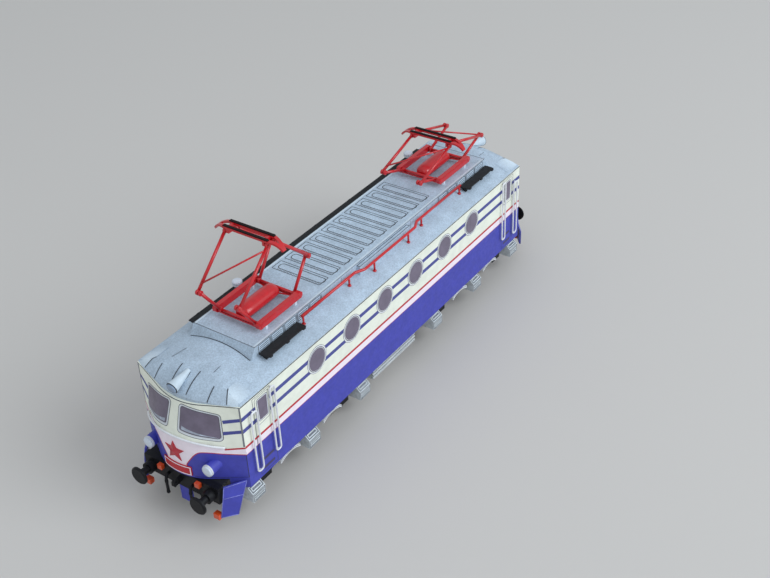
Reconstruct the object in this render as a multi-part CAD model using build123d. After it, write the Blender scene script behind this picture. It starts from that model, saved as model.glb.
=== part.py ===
from build123d import *
import os
from math import acos, asin, atan2, cos, degrees, radians, sin, sqrt, tan

# Printed-card scale model of a two-cab electric locomotive on two four-wheel bogies, 1:87.
# Millimetres. +X is forward, towards the cab seen in the photograph, +Y is the locomotive's left,
# +Z is up. The origin is under the middle of the body, level with the bottoms of the wheel flanges.
# Heights are written from the rail top, and "lift" brings them to the origin.

os.makedirs("parts", exist_ok=True)

# Wheels, the height datum
tread_radius = 7.2
flange_depth = 1.05
flange_radius = tread_radius + flange_depth
lift = flange_depth
wheel_width = 2.8
flange_width = 0.75
back_to_back = 14.4
axle_radius = 1.0
stub_radius = 0.7
running_gap = 0.06

# Body shell, all of card
half_width = 17.0
card = 0.8
corner_x = 69.2
body_bottom = 10.8
eave_height = 37.2
floor_height = 17.2
fit_gap = 0.1

# Cab front: an arc between two flat facets, upright below the waist and raked above it
nose_depth = 7.9
nose_tip = corner_x + nose_depth
nose_radius = 16.0
waist_height = 26.4
brow_depth = 4.0
brow_tip = corner_x + brow_depth
brow_radius = 24.9
brow_height = eave_height - 1.3

# Roof
crown_height = eave_height + 4.0
roof_edge = eave_height + 0.2
roof_rise = crown_height - roof_edge
roof_radius = (half_width ** 2 + roof_rise ** 2) / (2 * roof_rise)
roof_end_radius = 12.0
roof_end_rise = brow_height + 1.0

# Raised roof box that carries the pantographs, set a little behind the body's middle
roof_shift = -2.0
box_half_width = 10.2
box_half_length = corner_x - 12.7
box_end_slope = 2.6
box_top = crown_height + 1.6
box_foot = crown_height - 2.6

# Pantographs: two mirrored arms on each side, which meet at the collector head
pan_spacing = 2 * (box_half_length - 13.9)
pan_front_x = roof_shift + pan_spacing / 2
pan_rear_x = roof_shift - pan_spacing / 2
pan_base_half = 7.75
pan_base_height = box_top + 2.0
pan_lower = 10.6
head_half = 1.3
pan_upper = pan_base_half + pan_lower - head_half
pan_tube = 0.45
pan_brace = 0.24
pan_shaft = 0.42
pan_pin = 0.34
pan_eye = 0.75
pan_eye_width = 0.7
pan_lower_y = 5.9
pan_upper_y = 6.85
pan_pin_end = pan_upper_y + pan_eye_width / 2 + 0.15
pan_beam_y = 7.2
pan_beam_width = 1.3
pan_beam_height = 1.9
pan_bar_height = 0.4
pan_front_angle = 55.0
pan_rear_angle = 21.0
head_rise = 1.35
head_flat = 7.3
head_reach = 11.3
head_drop = 2.2
strip_width = 0.75
strip_height = 0.35
cover_radius = 1.9
pan_cover_gap = 0.05
open_pin_gap = 0.16

# Walkways, busbar and insulators on the roof
walk_width = 2.5
walk_thickness = 0.5
walk_height = crown_height - 0.8
walk_gap = 0.5
walk_tab = 0.9
walk_tab_spacing = (box_half_length - 5.5) / 3
short_walk_front = pan_front_x - 2.2
short_walk_rear = pan_rear_x - 13.4
short_walk_length = 15.4
busbar_radius = 0.42
busbar_height = crown_height + 1.0
busbar_y = box_half_width + 1.4
busbar_jog = 1.5
busbar_inset = 3.3
busbar_jog_front = 12.5
busbar_jog_rear = -15.5
post_radius = 0.32
pot_front = pan_front_x - 5.5
pot_rear = pan_rear_x - 3.8
pot_stem = 0.7
pot_radius = 1.45
pot_height = 3.1

# Bogies
wheelbase = 34.4
bogie_spacing = 2 * (corner_x - wheelbase / 2 - 9.0)
frame_y = 12.3
frame_thickness = 1.0
frame_top = 9.9
frame_bottom = 4.6
bogie_half = wheelbase / 2 + 6.8
bogie_box_y = 17.0
bogie_box_bottom = 4.9
bogie_box_edge = 7.7
bogie_box_top = 9.3
spring_y = 16.2
spring_x = wheelbase / 2 - 7.9
spring_half = 4.1
spring_low = 8.0
spring_rise = 1.2
spring_leaves = 0.8
pivot_radius = 2.2
pivot_gap = 0.1
bolster_bottom = 9.2
bolster_top = 12.2
bolster_half = 5.0
washer_radius = 3.2
washer_height = 0.8

# Boxes under the body, and wire rails
battery_front = bogie_spacing / 2 - wheelbase / 2 - 11.4
battery_rear = -battery_front / 2
battery_inner = 9.0
battery_bottom = 7.0
battery_rib = 0.35
rail_wire = 0.25
rail_stand = 0.75

# Ends: buffers, hook, hoses, headlamps, ploughs
buffer_y = 10.06
buffer_height = 11.0
buffer_face = nose_tip + 4.9
buffer_head_radius = 2.6
beam_back = nose_tip - 2.5
beam_face = nose_tip - 0.5
beam_half = 12.6
beam_bottom = 8.5
beam_top = 13.7
hose_height = 11.2
hose_foot = 5.2
hose_radius = 0.45
hose_y = 4.2
cock_y = 6.4
cock_half = 0.75
plough_bottom = 4.6
guard_bottom = 2.6
plate_half = 4.5
plate_bottom = 14.6
plate_top = 17.4
plate_thickness = 0.4
star_height = 21.3
star_reach = 3.15
star_thickness = 0.3
lamp_y = 10.0
lamp_height = 18.7
lamp_radius = 1.65
lamp_face = nose_tip - 0.4
lamp_tip = brow_tip + 1.0
brow_lamp_height = crown_height - 1.8
brow_lamp_radius = 1.65

TURN = {1: 0, -1: 180}


def facet_angle(tip, radius):
    """The angle at which a facet leaves its arc so that it ends at the body's corner."""
    reach = corner_x - tip + radius
    return degrees(asin(radius / sqrt(half_width ** 2 + reach ** 2)) - atan2(reach, half_width))


def up(height):
    """A height above the rail top as a height above the origin."""
    return height + lift


def block(x0, x1, y0, y1, z0, z1):
    """A box between two corners, heights from the rail top."""
    middle = Pos((x0 + x1) / 2, (y0 + y1) / 2, up((z0 + z1) / 2))
    return middle * Box(abs(x1 - x0), abs(y1 - y0), z1 - z0)


def rod(start, end, radius):
    """A round bar between two points, heights from the rail top."""
    a = Vector(start[0], start[1], up(start[2]))
    b = Vector(end[0], end[1], up(end[2]))
    return extrude(Plane(origin=a, z_dir=b - a) * Circle(radius), amount=(b - a).length)


def wire(start, end, radius):
    """A thin bar between two points, six-sided to keep its facets few, heights from the rail top."""
    a = Vector(start[0], start[1], up(start[2]))
    b = Vector(end[0], end[1], up(end[2]))
    return extrude(Plane(origin=a, z_dir=b - a) * RegularPolygon(radius, 6), amount=(b - a).length)


def across(x, y0, y1, z, radius):
    """A round bar along Y."""
    return rod((x, y0, z), (x, y1, z), radius)


def along(x0, x1, y, z, radius):
    """A round bar along X."""
    return rod((x0, y, z), (x1, y, z), radius)


def turned(shape, end):
    """The same shape at the front end, +1, or turned half round for the rear end, -1."""
    return Rot(0, 0, TURN[end]) * shape


def solids_of(*shapes):
    """Every solid of some shapes, in one list."""
    found = []
    for shape in shapes:
        found += shape.solids()
    return found


def save(name, *shapes):
    """Writes one node's solids to its file."""
    solids = solids_of(*shapes)
    body = solids[0] if len(solids) == 1 else Compound(children=solids)
    export_step(body, "parts/" + name + ".step")


def end_outline(tip, radius, inset, back):
    """Plan of one end: an arc on the centre line, tangent facets to the corners, closed at the back."""
    bend = radians(facet_angle(tip, radius))
    half = half_width - inset
    arc_y = (radius - inset) * sin(bend)
    arc_x = tip - inset - (radius - inset) * (1 - cos(bend))
    corner = arc_x - (half - arc_y) * tan(bend)
    path = [
        Line((back, -half), (corner, -half)),
        Line((corner, -half), (arc_x, -arc_y)),
        ThreePointArc((arc_x, -arc_y), (tip - inset, 0), (arc_x, arc_y)),
        Line((arc_x, arc_y), (corner, half)),
        Line((corner, half), (back, half)),
        Line((back, half), (back, -half)),
    ]
    return make_face(Wire(path))


def cab_block(inset):
    """The cab end's outer form, or with an inset of the card's thickness, its inner form."""
    back = corner_x - 6.0
    low = end_outline(nose_tip, nose_radius, inset, back)
    high = end_outline(brow_tip, brow_radius, inset, back)
    base = Pos(0, 0, up(body_bottom)) * extrude(low, amount=waist_height - body_bottom)
    rake = loft([Pos(0, 0, up(waist_height)) * low, Pos(0, 0, up(eave_height)) * high], ruled=True)
    ahead = Pos(corner_x + 10, 0, up(body_bottom)) * Box(20, 50, 80)
    return (base + rake) & ahead


def above_eaves():
    """Everything over the eaves, which dip towards each end; the test solid for cutting."""
    dip = (eave_height - brow_height) / (brow_tip - corner_x)
    reach = 90.0
    points = [(-reach, 80), (-reach, eave_height - dip * (reach - corner_x)), (-corner_x, eave_height),
              (corner_x, eave_height), (reach, eave_height - dip * (reach - corner_x)), (reach, 80)]
    profile = make_face(Polyline([(x, up(z)) for x, z in points], close=True))
    return Pos(0, 30, 0) * extrude(Plane.XZ * profile, amount=60)


def roof_block(inset):
    """The roof's outer form, or with an inset its inner form: a long arched sheet with swept ends."""
    crown = up(crown_height) - inset
    radius = roof_radius - inset
    half = half_width - inset
    section = Pos(0, crown - radius) * Circle(radius) & Pos(0, crown - 3.1) * Rectangle(2 * half, 8.0)
    vault = extrude(Plane.YZ * section, amount=corner_x + 10, both=True)
    middle = Pos(0, 0, crown - 4) * Box(2 * (corner_x - 10), 2 * half, 8)
    for end in (1, -1):
        middle += turned(end_dome(inset, crown), end)
    return vault & middle


def end_dome(inset, crown):
    """One roof end: its side profile carried round the brow's arc and facets."""
    tip = brow_tip - inset
    half = half_width - inset
    arc_r = brow_radius - inset
    centre_x = tip - arc_r
    rise = up(roof_end_rise) - inset
    facet = facet_angle(brow_tip, brow_radius)
    run = sqrt(roof_end_radius ** 2 - (roof_end_radius - (crown - rise)) ** 2)
    bottom = up(brow_height - 3)
    profile = make_face(Wire([
        Line((0, bottom), (arc_r, bottom)),
        Line((arc_r, bottom), (arc_r, rise)),
        ThreePointArc((arc_r, rise),
                      (arc_r - run + roof_end_radius * sin(asin(run / roof_end_radius) / 2),
                       crown - roof_end_radius * (1 - cos(asin(run / roof_end_radius) / 2))),
                      (arc_r - run, crown)),
        Line((arc_r - run, crown), (0, crown)),
        Line((0, crown), (0, bottom)),
    ]))
    upright = Plane(origin=(0, 0, 0), x_dir=(1, 0, 0), z_dir=(0, -1, 0))
    wedge = revolve(upright * profile, axis=Axis.Z, revolution_arc=2 * facet)
    dome = Pos(centre_x, 0, 0) * Rot(0, 0, -facet) * wedge
    for side in (1, -1):
        strip = extrude(upright * profile, amount=half * 2)
        if side > 0:
            strip = mirror(strip, about=Plane.XZ)
        dome += Pos(centre_x, 0, 0) * Rot(0, 0, side * facet) * strip
    return dome & Pos(centre_x + arc_r, 0, crown - 5) * Box(2 * arc_r + 20, 2 * half, 30)


def body_shell():
    """Side walls, cab ends, floor and roof."""
    for name, side in (("side_wall_left", 1), ("side_wall_right", -1)):
        inner = half_width - card
        save(name, block(-corner_x, corner_x, side * half_width, side * inner, body_bottom, eave_height))
    over = above_eaves()
    notch = block(corner_x + 1, buffer_face, -beam_half - fit_gap, beam_half + fit_gap, 0, beam_top + fit_gap)
    shell = cab_block(0) - cab_block(card) - over - notch
    for name, end in (("cab_end_front", 1), ("cab_end_rear", -1)):
        save(name, turned(shell, end))
    inside = card + fit_gap
    plan = end_outline(nose_tip, nose_radius, inside, 0)
    plate = Pos(0, 0, up(floor_height)) * extrude(plan, amount=card)
    pivot_x = bogie_spacing / 2
    floor = plate + turned(plate, -1)
    save("floor", floor)
    washer_top = bolster_bottom - pivot_gap
    pins = []
    for end in (1, -1):
        at = end * pivot_x
        pin = rod((at, 0, washer_top), (at, 0, floor_height), pivot_radius)
        pin += rod((at, 0, bolster_top + pivot_gap), (at, 0, floor_height), pivot_radius + 1.5)
        pins.append(pin + rod((at, 0, washer_top - washer_height), (at, 0, washer_top), washer_radius))
    save("bogie_pivots", *pins)
    save("roof", (roof_block(0) - roof_block(card)) & over)


def roof_box():
    """The long raised box: sloping ends, upright louvred sides, and the arched roof under it."""
    half = box_half_length
    profile = make_face(Polyline([
        (-half - box_end_slope, up(box_foot)), (-half, up(box_top)), (half, up(box_top)),
        (half + box_end_slope, up(box_foot))], close=True))
    box = Pos(roof_shift, box_half_width, 0) * extrude(Plane.XZ * profile, amount=2 * box_half_width)
    save("roof_box", box - roof_block(0))


def walkways():
    """Black walkways: a long one on the right and two short ones on the left, with small tabs outboard."""
    inner = box_half_width + walk_gap
    outer = inner + walk_width
    low, high = walk_height, walk_height + walk_thickness
    long_half = box_half_length - 2.0
    far = block(roof_shift - long_half, roof_shift + long_half, -outer, -inner, low, high)
    for step in range(-3, 4):
        x = roof_shift + step * walk_tab_spacing
        far += block(x - 0.5, x + 0.5, -outer - walk_tab, -outer + 0.2, low, high)
        far += foot(x, -(inner + outer) / 2)
    save("walkway_right", far)
    pieces = []
    for x0, x1 in ((short_walk_front, short_walk_front + short_walk_length),
                   (short_walk_rear, short_walk_rear + short_walk_length)):
        strip = block(x0, x1, inner, outer, low, high)
        for x in (x0 + 1.0, (x0 + x1) / 2, x1 - 1.0):
            strip += block(x - 0.5, x + 0.5, outer - 0.2, outer + walk_tab, low, high)
            strip += foot(x, (inner + outer) / 2)
        pieces.append(strip)
    save("walkways_left", *pieces)


def foot(x, y):
    """A low block between the arched roof and what stands on it."""
    return block(x - 0.4, x + 0.4, y - 0.6, y + 0.6, walk_height - 2.5, walk_height + 0.1) - roof_block(0)


def busbar():
    """The thick red conductor along the left of the box, which jogs outboard in the middle on posts."""
    y0 = busbar_y
    y1 = busbar_y + busbar_jog
    front = pan_front_x - busbar_inset
    rear = pan_rear_x + busbar_inset
    z = up(busbar_height)
    path = Polyline((rear, y0, z), (busbar_jog_rear - 1.4, y0, z), (busbar_jog_rear + 1.4, y1, z),
                    (busbar_jog_front - 1.4, y1, z), (busbar_jog_front + 1.4, y0, z), (front, y0, z))
    section = Plane(origin=path @ 0, z_dir=path % 0) * RegularPolygon(busbar_radius, 6)
    bar = sweep(section, path=path, transition=Transition.RIGHT)
    roof = roof_block(0)
    for x, y in ((front - 0.5, y0), (busbar_jog_front - 6.0, y1), (busbar_jog_rear + 5.0, y1),
                 (rear + 0.5, y0), (busbar_jog_front + 4.0, y0), (busbar_jog_rear - 4.0, y0)):
        bar += wire((x, y, busbar_height), (x, y, busbar_height - 4.5), post_radius) - roof
    save("busbar", bar)


def roof_insulators():
    """Two pots on the right-hand walkway, one beside each pantograph."""
    y = -(box_half_width + walk_gap + walk_width / 2)
    pots = []
    base = walk_height + walk_thickness
    for x in (pot_front, pot_rear):
        profile = make_face(Polyline([
            (0, base), (pot_stem, base), (pot_stem, base + 1.3), (pot_radius, base + 1.6), (pot_radius, base + 2.8),
            (pot_radius - 0.35, base + pot_height), (0, base + pot_height)], close=True))
        pots.append(Pos(x, y, lift) * revolve(Plane.XZ * profile, axis=Axis.Z))
    save("roof_insulators", *pots)


def pantograph(name, centre, angle):
    """One pantograph: base on the roof box, two lower and two upper frames, and the collector head."""
    z0 = pan_base_height
    low = radians(angle)
    knee_x = pan_base_half + pan_lower * cos(low)
    knee_z = z0 + pan_lower * sin(low)
    high = acos((knee_x - head_half) / pan_upper)
    head_z = knee_z + pan_upper * sin(high)
    feet, cover = base_parts(name, centre)
    for label, way in (("front", 1), ("rear", -1)):
        place = Pos(centre, 0, 0) * Rot(0, 0, TURN[way])
        save(name + "_lower_" + label, place * lower_frame(knee_x, knee_z))
        save(name + "_upper_" + label, place * upper_frame(knee_x, knee_z, head_z, way))
    frame, strips = collector_head(head_z)
    save(name + "_head", Pos(centre, 0, 0) * frame)
    save(name + "_strips", *[Pos(centre, 0, 0) * strip for strip in strips])
    return feet, cover


def base_parts(name, centre):
    """Beams with bearings for the shafts, end bars with braces, insulating feet and the spring cover."""
    z0 = pan_base_height
    beam_end = pan_base_half + 1.1
    top = z0 + pan_beam_height / 2
    bottom = z0 - pan_beam_height / 2
    frame = None
    feet = []
    for side in (1, -1):
        y0 = side * pan_beam_y - pan_beam_width / 2
        beam = block(-beam_end, beam_end, y0, y0 + pan_beam_width, bottom, top)
        beam = chamfer(beam.edges().filter_by(Axis.Y), 0.5)
        for end in (1, -1):
            beam -= across(end * pan_base_half, y0 - 1, y0 + pan_beam_width + 1, z0, pan_shaft + running_gap)
            x, y = centre + end * 6.0, side * pan_beam_y
            feet.append(wire((x, y, box_top), (x, y, bottom), 0.7))
        frame = beam if frame is None else frame + beam
    inner = pan_beam_y - pan_beam_width / 2 + 0.1
    for end in (1, -1):
        x = end * pan_base_half
        frame += block(x - 0.35, x + 0.35, -inner, inner, bottom, bottom + pan_bar_height)
        for side in (1, -1):
            low = bottom + pan_bar_height / 2
            frame += wire((x - end * 1.5, 0, low), (x, side * inner, low), pan_bar_height / 2)
    save(name + "_base", Pos(centre, 0, 0) * frame)
    reach = pan_base_half - pan_shaft - 0.3
    cover = along(-reach, reach, 0, z0 + 0.1, cover_radius)
    cover = chamfer(cover.edges(), 0.7)
    cover_bottom = bottom + pan_bar_height + pan_cover_gap
    cover -= block(-pan_base_half, pan_base_half, -cover_radius, cover_radius, cover_bottom - 3, cover_bottom)
    return feet, Pos(centre, 0, 0) * cover


def eye(x, y, z):
    """An eight-sided eye round a pin that lies along Y."""
    face = Plane(origin=(x, y, up(z)), z_dir=(0, 1, 0)) * RegularPolygon(pan_eye, 8)
    return extrude(face, amount=pan_eye_width / 2, both=True)


def pin(x, side, z):
    """An eight-sided pin from a lower frame's eye, or the head's plate, out through an upper frame's eye."""
    face = Plane(origin=(x, side * pan_lower_y, up(z)), z_dir=(0, side, 0)) * RegularPolygon(pan_pin, 8)
    return extrude(face, amount=pan_pin_end - pan_lower_y)


def lower_frame(knee_x, knee_z):
    """Shaft, two arms, and at each knee an eye with its pin."""
    z0 = pan_base_height
    reach = pan_beam_y + pan_beam_width / 2 + 0.15
    frame = across(pan_base_half, -reach, reach, z0, pan_shaft)
    for side in (1, -1):
        y = side * pan_lower_y
        frame += wire((pan_base_half, y, z0), (knee_x, y, knee_z), pan_tube)
        frame += eye(knee_x, y, knee_z) + pin(knee_x, side, knee_z)
    return frame


def upper_frame(knee_x, knee_z, head_z, way):
    """Two tubes with an eye at each end, and a thin brace from one knee to the other tube's top."""
    top = Vector(head_half, 0, head_z)
    knee = Vector(knee_x, 0, knee_z)
    run = (top - knee).normalized()
    lifted = Vector(-run.Z, 0, run.X) * pan_tube * (1 if run.X > 0 else -1)
    frame = None
    for side in (1, -1):
        y = side * pan_upper_y
        tube = wire((knee.X, y, knee.Z), (top.X, y, top.Z), pan_tube)
        tube += eye(knee.X, y, knee.Z) + eye(top.X, y, top.Z)
        tube -= across(knee.X, y - 1, y + 1, knee.Z, pan_pin + running_gap + 0.02)
        gap = running_gap + 0.02 if way > 0 else open_pin_gap
        tube -= across(top.X, y - 1, y + 1, top.Z, pan_pin + gap)
        frame = tube if frame is None else frame + tube
    start = knee + run * 2.2 + lifted
    stop = top - run * 1.8 + lifted
    frame += wire((start.X, -(pan_upper_y - 0.1), start.Z), (stop.X, pan_upper_y - 0.1, stop.Z), pan_brace)
    return frame


def collector_head(head_z):
    """Two bars that meet at the drooping horns, joined by two plates which carry the pins; and the strips."""
    bar_low = head_z + head_rise - 0.55
    bar_high = head_z + head_rise
    tip_x = 0.55
    wide = head_half + strip_width / 2 + 0.1
    plan = make_face(Polyline([
        (wide, -head_flat), (tip_x, -head_reach), (-tip_x, -head_reach), (-wide, -head_flat),
        (-wide, head_flat), (-tip_x, head_reach), (tip_x, head_reach), (wide, head_flat)], close=True))
    slim = head_half - strip_width / 2 - 0.1
    hole = make_face(Polyline([
        (slim, -head_flat), (0.0, -head_reach + 1.5), (-slim, -head_flat),
        (-slim, head_flat), (0.0, head_reach - 1.5), (slim, head_flat)], close=True))
    ring = Pos(0, 0, up(head_z - 4)) * extrude(plan - hole, amount=8)
    thick = bar_high - bar_low
    run = head_reach - head_flat
    bend = 2 * atan2(head_drop, run)
    radius = run / sin(bend)
    half_turn = bend / 2
    outer_mid = (head_flat + radius * sin(half_turn), up(bar_high) - radius * (1 - cos(half_turn)))
    inner_r = radius - thick
    inner_end = (head_flat + inner_r * sin(bend), up(bar_low) - inner_r * (1 - cos(bend)))
    inner_mid = (head_flat + inner_r * sin(half_turn), up(bar_low) - inner_r * (1 - cos(half_turn)))
    outer_end = (head_reach, up(bar_high) - head_drop)
    edges = []
    for side in (1, -1):
        def p(point):
            return (side * point[0], point[1])
        edges += [ThreePointArc((side * head_flat, up(bar_high)), p(outer_mid), p(outer_end)),
                  Line(p(outer_end), p(inner_end)),
                  ThreePointArc(p(inner_end), p(inner_mid), (side * head_flat, up(bar_low)))]
    edges += [Line((-head_flat, up(bar_high)), (head_flat, up(bar_high))),
              Line((-head_flat, up(bar_low)), (head_flat, up(bar_low)))]
    bow = Pos(-4, 0, 0) * extrude(Plane.YZ * make_face(Wire(edges)), amount=8)
    frame = ring & bow
    for side in (1, -1):
        y = side * pan_lower_y
        thin = pan_eye_width / 2
        plate = block(-wide, wide, y - thin, y + thin, head_z - 0.55, bar_high)
        frame += chamfer(plate.edges().filter_by(Axis.Y), 0.3)
        for end in (1, -1):
            frame += pin(end * head_half, side, head_z)
    strips = []
    for end in (1, -1):
        x = end * head_half
        strip = block(x - strip_width / 2, x + strip_width / 2, -head_flat, head_flat, bar_high,
                      bar_high + strip_height)
        strips.append(fillet(strip.edges().filter_by(Axis.X).group_by(Axis.Z)[-1], 0.25))
    return frame, strips


def wheelset():
    """Two flanged disc wheels on an axle whose thin ends run in the axle boxes."""
    inner = back_to_back / 2
    outer = inner + wheel_width
    end = frame_y + frame_thickness / 2 + 0.5
    lip = flange_width
    points = [(0, -end)]
    half = [(stub_radius, end), (stub_radius, outer + 0.7), (1.8, outer + 0.7), (2.3, outer - 0.8),
            (tread_radius - 1.6, outer - 0.8), (tread_radius - 1.2, outer), (tread_radius, outer),
            (tread_radius, inner + lip + 0.3), (flange_radius, inner + lip / 2), (flange_radius, inner),
            (axle_radius, inner)]
    outline = [(0, end)] + half + [(r, -y) for r, y in reversed(half)] + [(0, -end)]
    face = make_face(Polyline([(r, y) for r, y in outline], close=True))
    return Pos(0, 0, flange_radius) * revolve(face, axis=Axis.Y)


def bogies():
    """Frames with bearings, boxes and leaf springs, and two wheelsets in each."""
    axle_z = tread_radius
    for label, end in (("front", 1), ("rear", -1)):
        centre = end * bogie_spacing / 2
        here = Pos(centre, 0, 0)
        frame = bogie_frame(axle_z)
        save("bogie_frame_" + label, here * frame)
        boxes = []
        springs = []
        outer = wheelbase / 2
        for side in (1, -1):
            for x0, x1 in ((-outer - 8.8, -outer - 4.0), (-2.4, 2.4), (outer + 4.0, outer + 8.8)):
                boxes.append(side_box(x0, x1, side))
            for x in (-spring_x, spring_x):
                springs.append(leaf_spring(x, side))
        save("bogie_boxes_" + label, *[here * box for box in boxes])
        save("bogie_springs_" + label, *[here * spring for spring in springs])
        for number, x in ((1, wheelbase / 2), (2, -wheelbase / 2)):
            save("wheelset_%s_%d" % (label, number), Pos(centre + x, 0, 0) * wheelset())


def bogie_frame(axle_z):
    """Two side plates with axle boxes, joined by a bolster that has the pivot's bore."""
    frame = None
    for side in (1, -1):
        axle_x = wheelbase / 2
        points = [(-bogie_half, frame_bottom + 1.6), (-bogie_half, frame_top), (bogie_half, frame_top),
                  (bogie_half, frame_bottom + 1.6), (axle_x + 2.4, frame_bottom), (axle_x - 2.4, frame_bottom),
                  (axle_x - 10.2, frame_bottom + 1.8), (10.2 - axle_x, frame_bottom + 1.8),
                  (2.4 - axle_x, frame_bottom), (-axle_x - 2.4, frame_bottom)]
        outline = make_face(Polyline([(x, up(z)) for x, z in points], close=True))
        plate = Pos(0, side * frame_y, 0) * extrude(Plane.XZ * outline, amount=frame_thickness / 2, both=True)
        for end in (1, -1):
            x = end * wheelbase / 2
            inside = side * (frame_y - frame_thickness / 2)
            outside = side * (frame_y + frame_thickness / 2 + 1.2)
            plate += block(x - 2.2, x + 2.2, inside, outside, axle_z - 2.0, axle_z + 2.2)
            plate -= across(x, inside - side * 2, side * (frame_y + frame_thickness / 2 + 0.6), axle_z,
                            stub_radius + running_gap)
        frame = plate if frame is None else frame + plate
    reach = frame_y - frame_thickness / 2 + 0.1
    frame += block(-bolster_half, bolster_half, -reach, reach, bolster_bottom, bolster_top)
    frame += block(-bolster_half, bolster_half, -reach - 0.6, -reach + 0.6, frame_bottom + 3, bolster_top)
    frame += block(-bolster_half, bolster_half, reach - 0.6, reach + 0.6, frame_bottom + 3, bolster_top)
    return frame - rod((0, 0, 0), (0, 0, 20), pivot_radius + pivot_gap)


def side_box(x0, x1, side):
    """A box on the outside of the frame, whose top slopes down outwards."""
    skin = frame_y + frame_thickness / 2
    profile = [(skin, bogie_box_bottom), (bogie_box_y, bogie_box_bottom), (bogie_box_y, bogie_box_edge),
               (bogie_box_y - 1.6, bogie_box_top), (skin, bogie_box_top)]
    face = make_face(Polyline([(side * y, up(z)) for y, z in profile], close=True))
    return Pos((x0 + x1) / 2, 0, 0) * extrude(Plane.YZ * face, amount=(x1 - x0) / 2, both=True)


def leaf_spring(x, side):
    """A bowed pack of leaves on the outside of the frame."""
    left, right = x - spring_half, x + spring_half
    low = up(spring_low)
    high = low + spring_leaves
    bow = make_face(Wire([
        ThreePointArc((left, low), (x, low + spring_rise), (right, low)),
        Line((right, low), (right, high)),
        ThreePointArc((right, high), (x, high + spring_rise), (left, high)),
        Line((left, high), (left, low))]))
    skin = frame_y + frame_thickness / 2
    middle = side * (skin + spring_y) / 2
    return Pos(0, middle, 0) * extrude(Plane.XZ * bow, amount=(spring_y - skin) / 2, both=True)


def underframe():
    """The ribbed battery boxes under the middle of each side."""
    for label, side in (("left", 1), ("right", -1)):
        skirt = side * (half_width - card - fit_gap)
        proud = skirt + side * battery_rib
        box = block(battery_rear, battery_front, side * battery_inner, skirt, battery_bottom, floor_height)
        for step in range(3):
            z = battery_bottom + 0.3 + 1.2 * step
            box += block(battery_rear, battery_front, skirt - side * 0.1, proud, z, z + 0.55)
        save("battery_box_" + label, box)


def ends():
    """Buffer beams, buffers, hooks, hoses, lamps, plates, stars, rails and ploughs at both ends."""
    groups = {}

    def keep(name, end, *shapes):
        groups.setdefault(name, []).extend([turned(shape, end) for shape in shapes])

    shell = cab_block(0)
    roof = roof_block(0)
    for label, end in (("front", 1), ("rear", -1)):
        beam = block(beam_back, beam_face, -beam_half, beam_half, beam_bottom, beam_top)
        keep("buffer_beam_" + label, end, beam)
        for side in (1, -1):
            y = side * buffer_y
            buffer = along(beam_face, beam_face + 2.0, y, buffer_height, 1.7)
            buffer += along(beam_face + 1.9, buffer_face - 0.5, y, buffer_height, 1.05)
            head = along(buffer_face - 0.75, buffer_face, y, buffer_height, buffer_head_radius)
            keep("buffers_" + label, end, buffer + chamfer(head.edges().group_by(Axis.X)[-1], 0.3))
            lamp = along(corner_x, lamp_face - 0.4, side * lamp_y, lamp_height, lamp_radius) - shell
            keep("headlamps", end, lamp)
            lens = along(lamp_face - 0.4, lamp_face, side * lamp_y, lamp_height, lamp_radius - 0.1)
            keep("headlamp_lenses", end, chamfer(lens.edges().group_by(Axis.X)[-1], 0.2))
            keep("brake_hoses", end, brake_hose(side))
            y0, y1 = side * (cock_y - cock_half), side * (cock_y + cock_half)
            keep("hose_cocks", end, block(beam_face, beam_face + 1.1, y0, y1, beam_top - 1.7, beam_top - 0.3))
            plough = corner_plate(side)
            keep("ploughs", end, plough)
            y0, y1 = side * (half_width - 6.0), side * (half_width - 4.1)
            toe = block(nose_tip - 0.7, nose_tip + 0.8, y0, y1, plough_bottom - 0.4, plough_bottom + 1.2)
            keep("plough_blocks", end, toe - plough)
        guard = block(beam_face - 1.3, beam_face - 0.7, -2.0, 2.0, guard_bottom, beam_bottom)
        keep("ploughs", end, guard)
        keep("draw_hooks", end, hook())
        keep("roof_lamps", end, roof_lamp() - roof)
        keep("roof_lamp_lenses", end, lamp_lens())
        plate = block(corner_x, nose_tip + 5, -plate_half, plate_half, plate_bottom, plate_top)
        keep("front_plates", end, plate & nose_skin(plate_thickness))
        keep("nose_stars", end, star())
        keep("nose_rails", end, nose_rail())
    for name, shapes in groups.items():
        save(name, *shapes)


def brake_hose(side):
    """A short air hose that leaves the beam forwards, turns down and hangs."""
    y = side * hose_y
    x = beam_face
    top = up(hose_height)
    path = Polyline((x, y, top), (x + 0.8, y, top), (x + 1.5, y, top - 0.7), (x + 1.5, y, up(hose_foot)))
    section = Plane(origin=path @ 0, z_dir=path % 0) * RegularPolygon(hose_radius, 6)
    return sweep(section, path=path, transition=Transition.RIGHT)


def corner_plate(side):
    """One half of the plough: a folded plate from the body's corner towards the buffer."""
    rows = ((beam_top + 0.1, 1.0, 0.2, 6.2, 3.4), (10.6, 2.9, 0.2, 7.0, 3.4), (plough_bottom, 4.6, 1.1, 8.0, 4.0))
    halves = []
    thick = 0.5
    for upper, lower in zip(rows, rows[1:]):
        faces = []
        for z, back, back_inset, front, front_inset in (upper, lower):
            xa, ya = corner_x + back, half_width - back_inset
            xb, yb = corner_x + front, half_width - front_inset
            away = Vector(yb - ya, xa - xb, 0).normalized() * thick
            points = [(xa, ya), (xb, yb), (xb + away.X, yb + away.Y), (xa + away.X, ya + away.Y)]
            faces.append(make_face(Polyline([(px, side * py, up(z)) for px, py in points], close=True)))
        halves.append(loft(faces, ruled=True))
    return halves[0] + halves[1]


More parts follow.
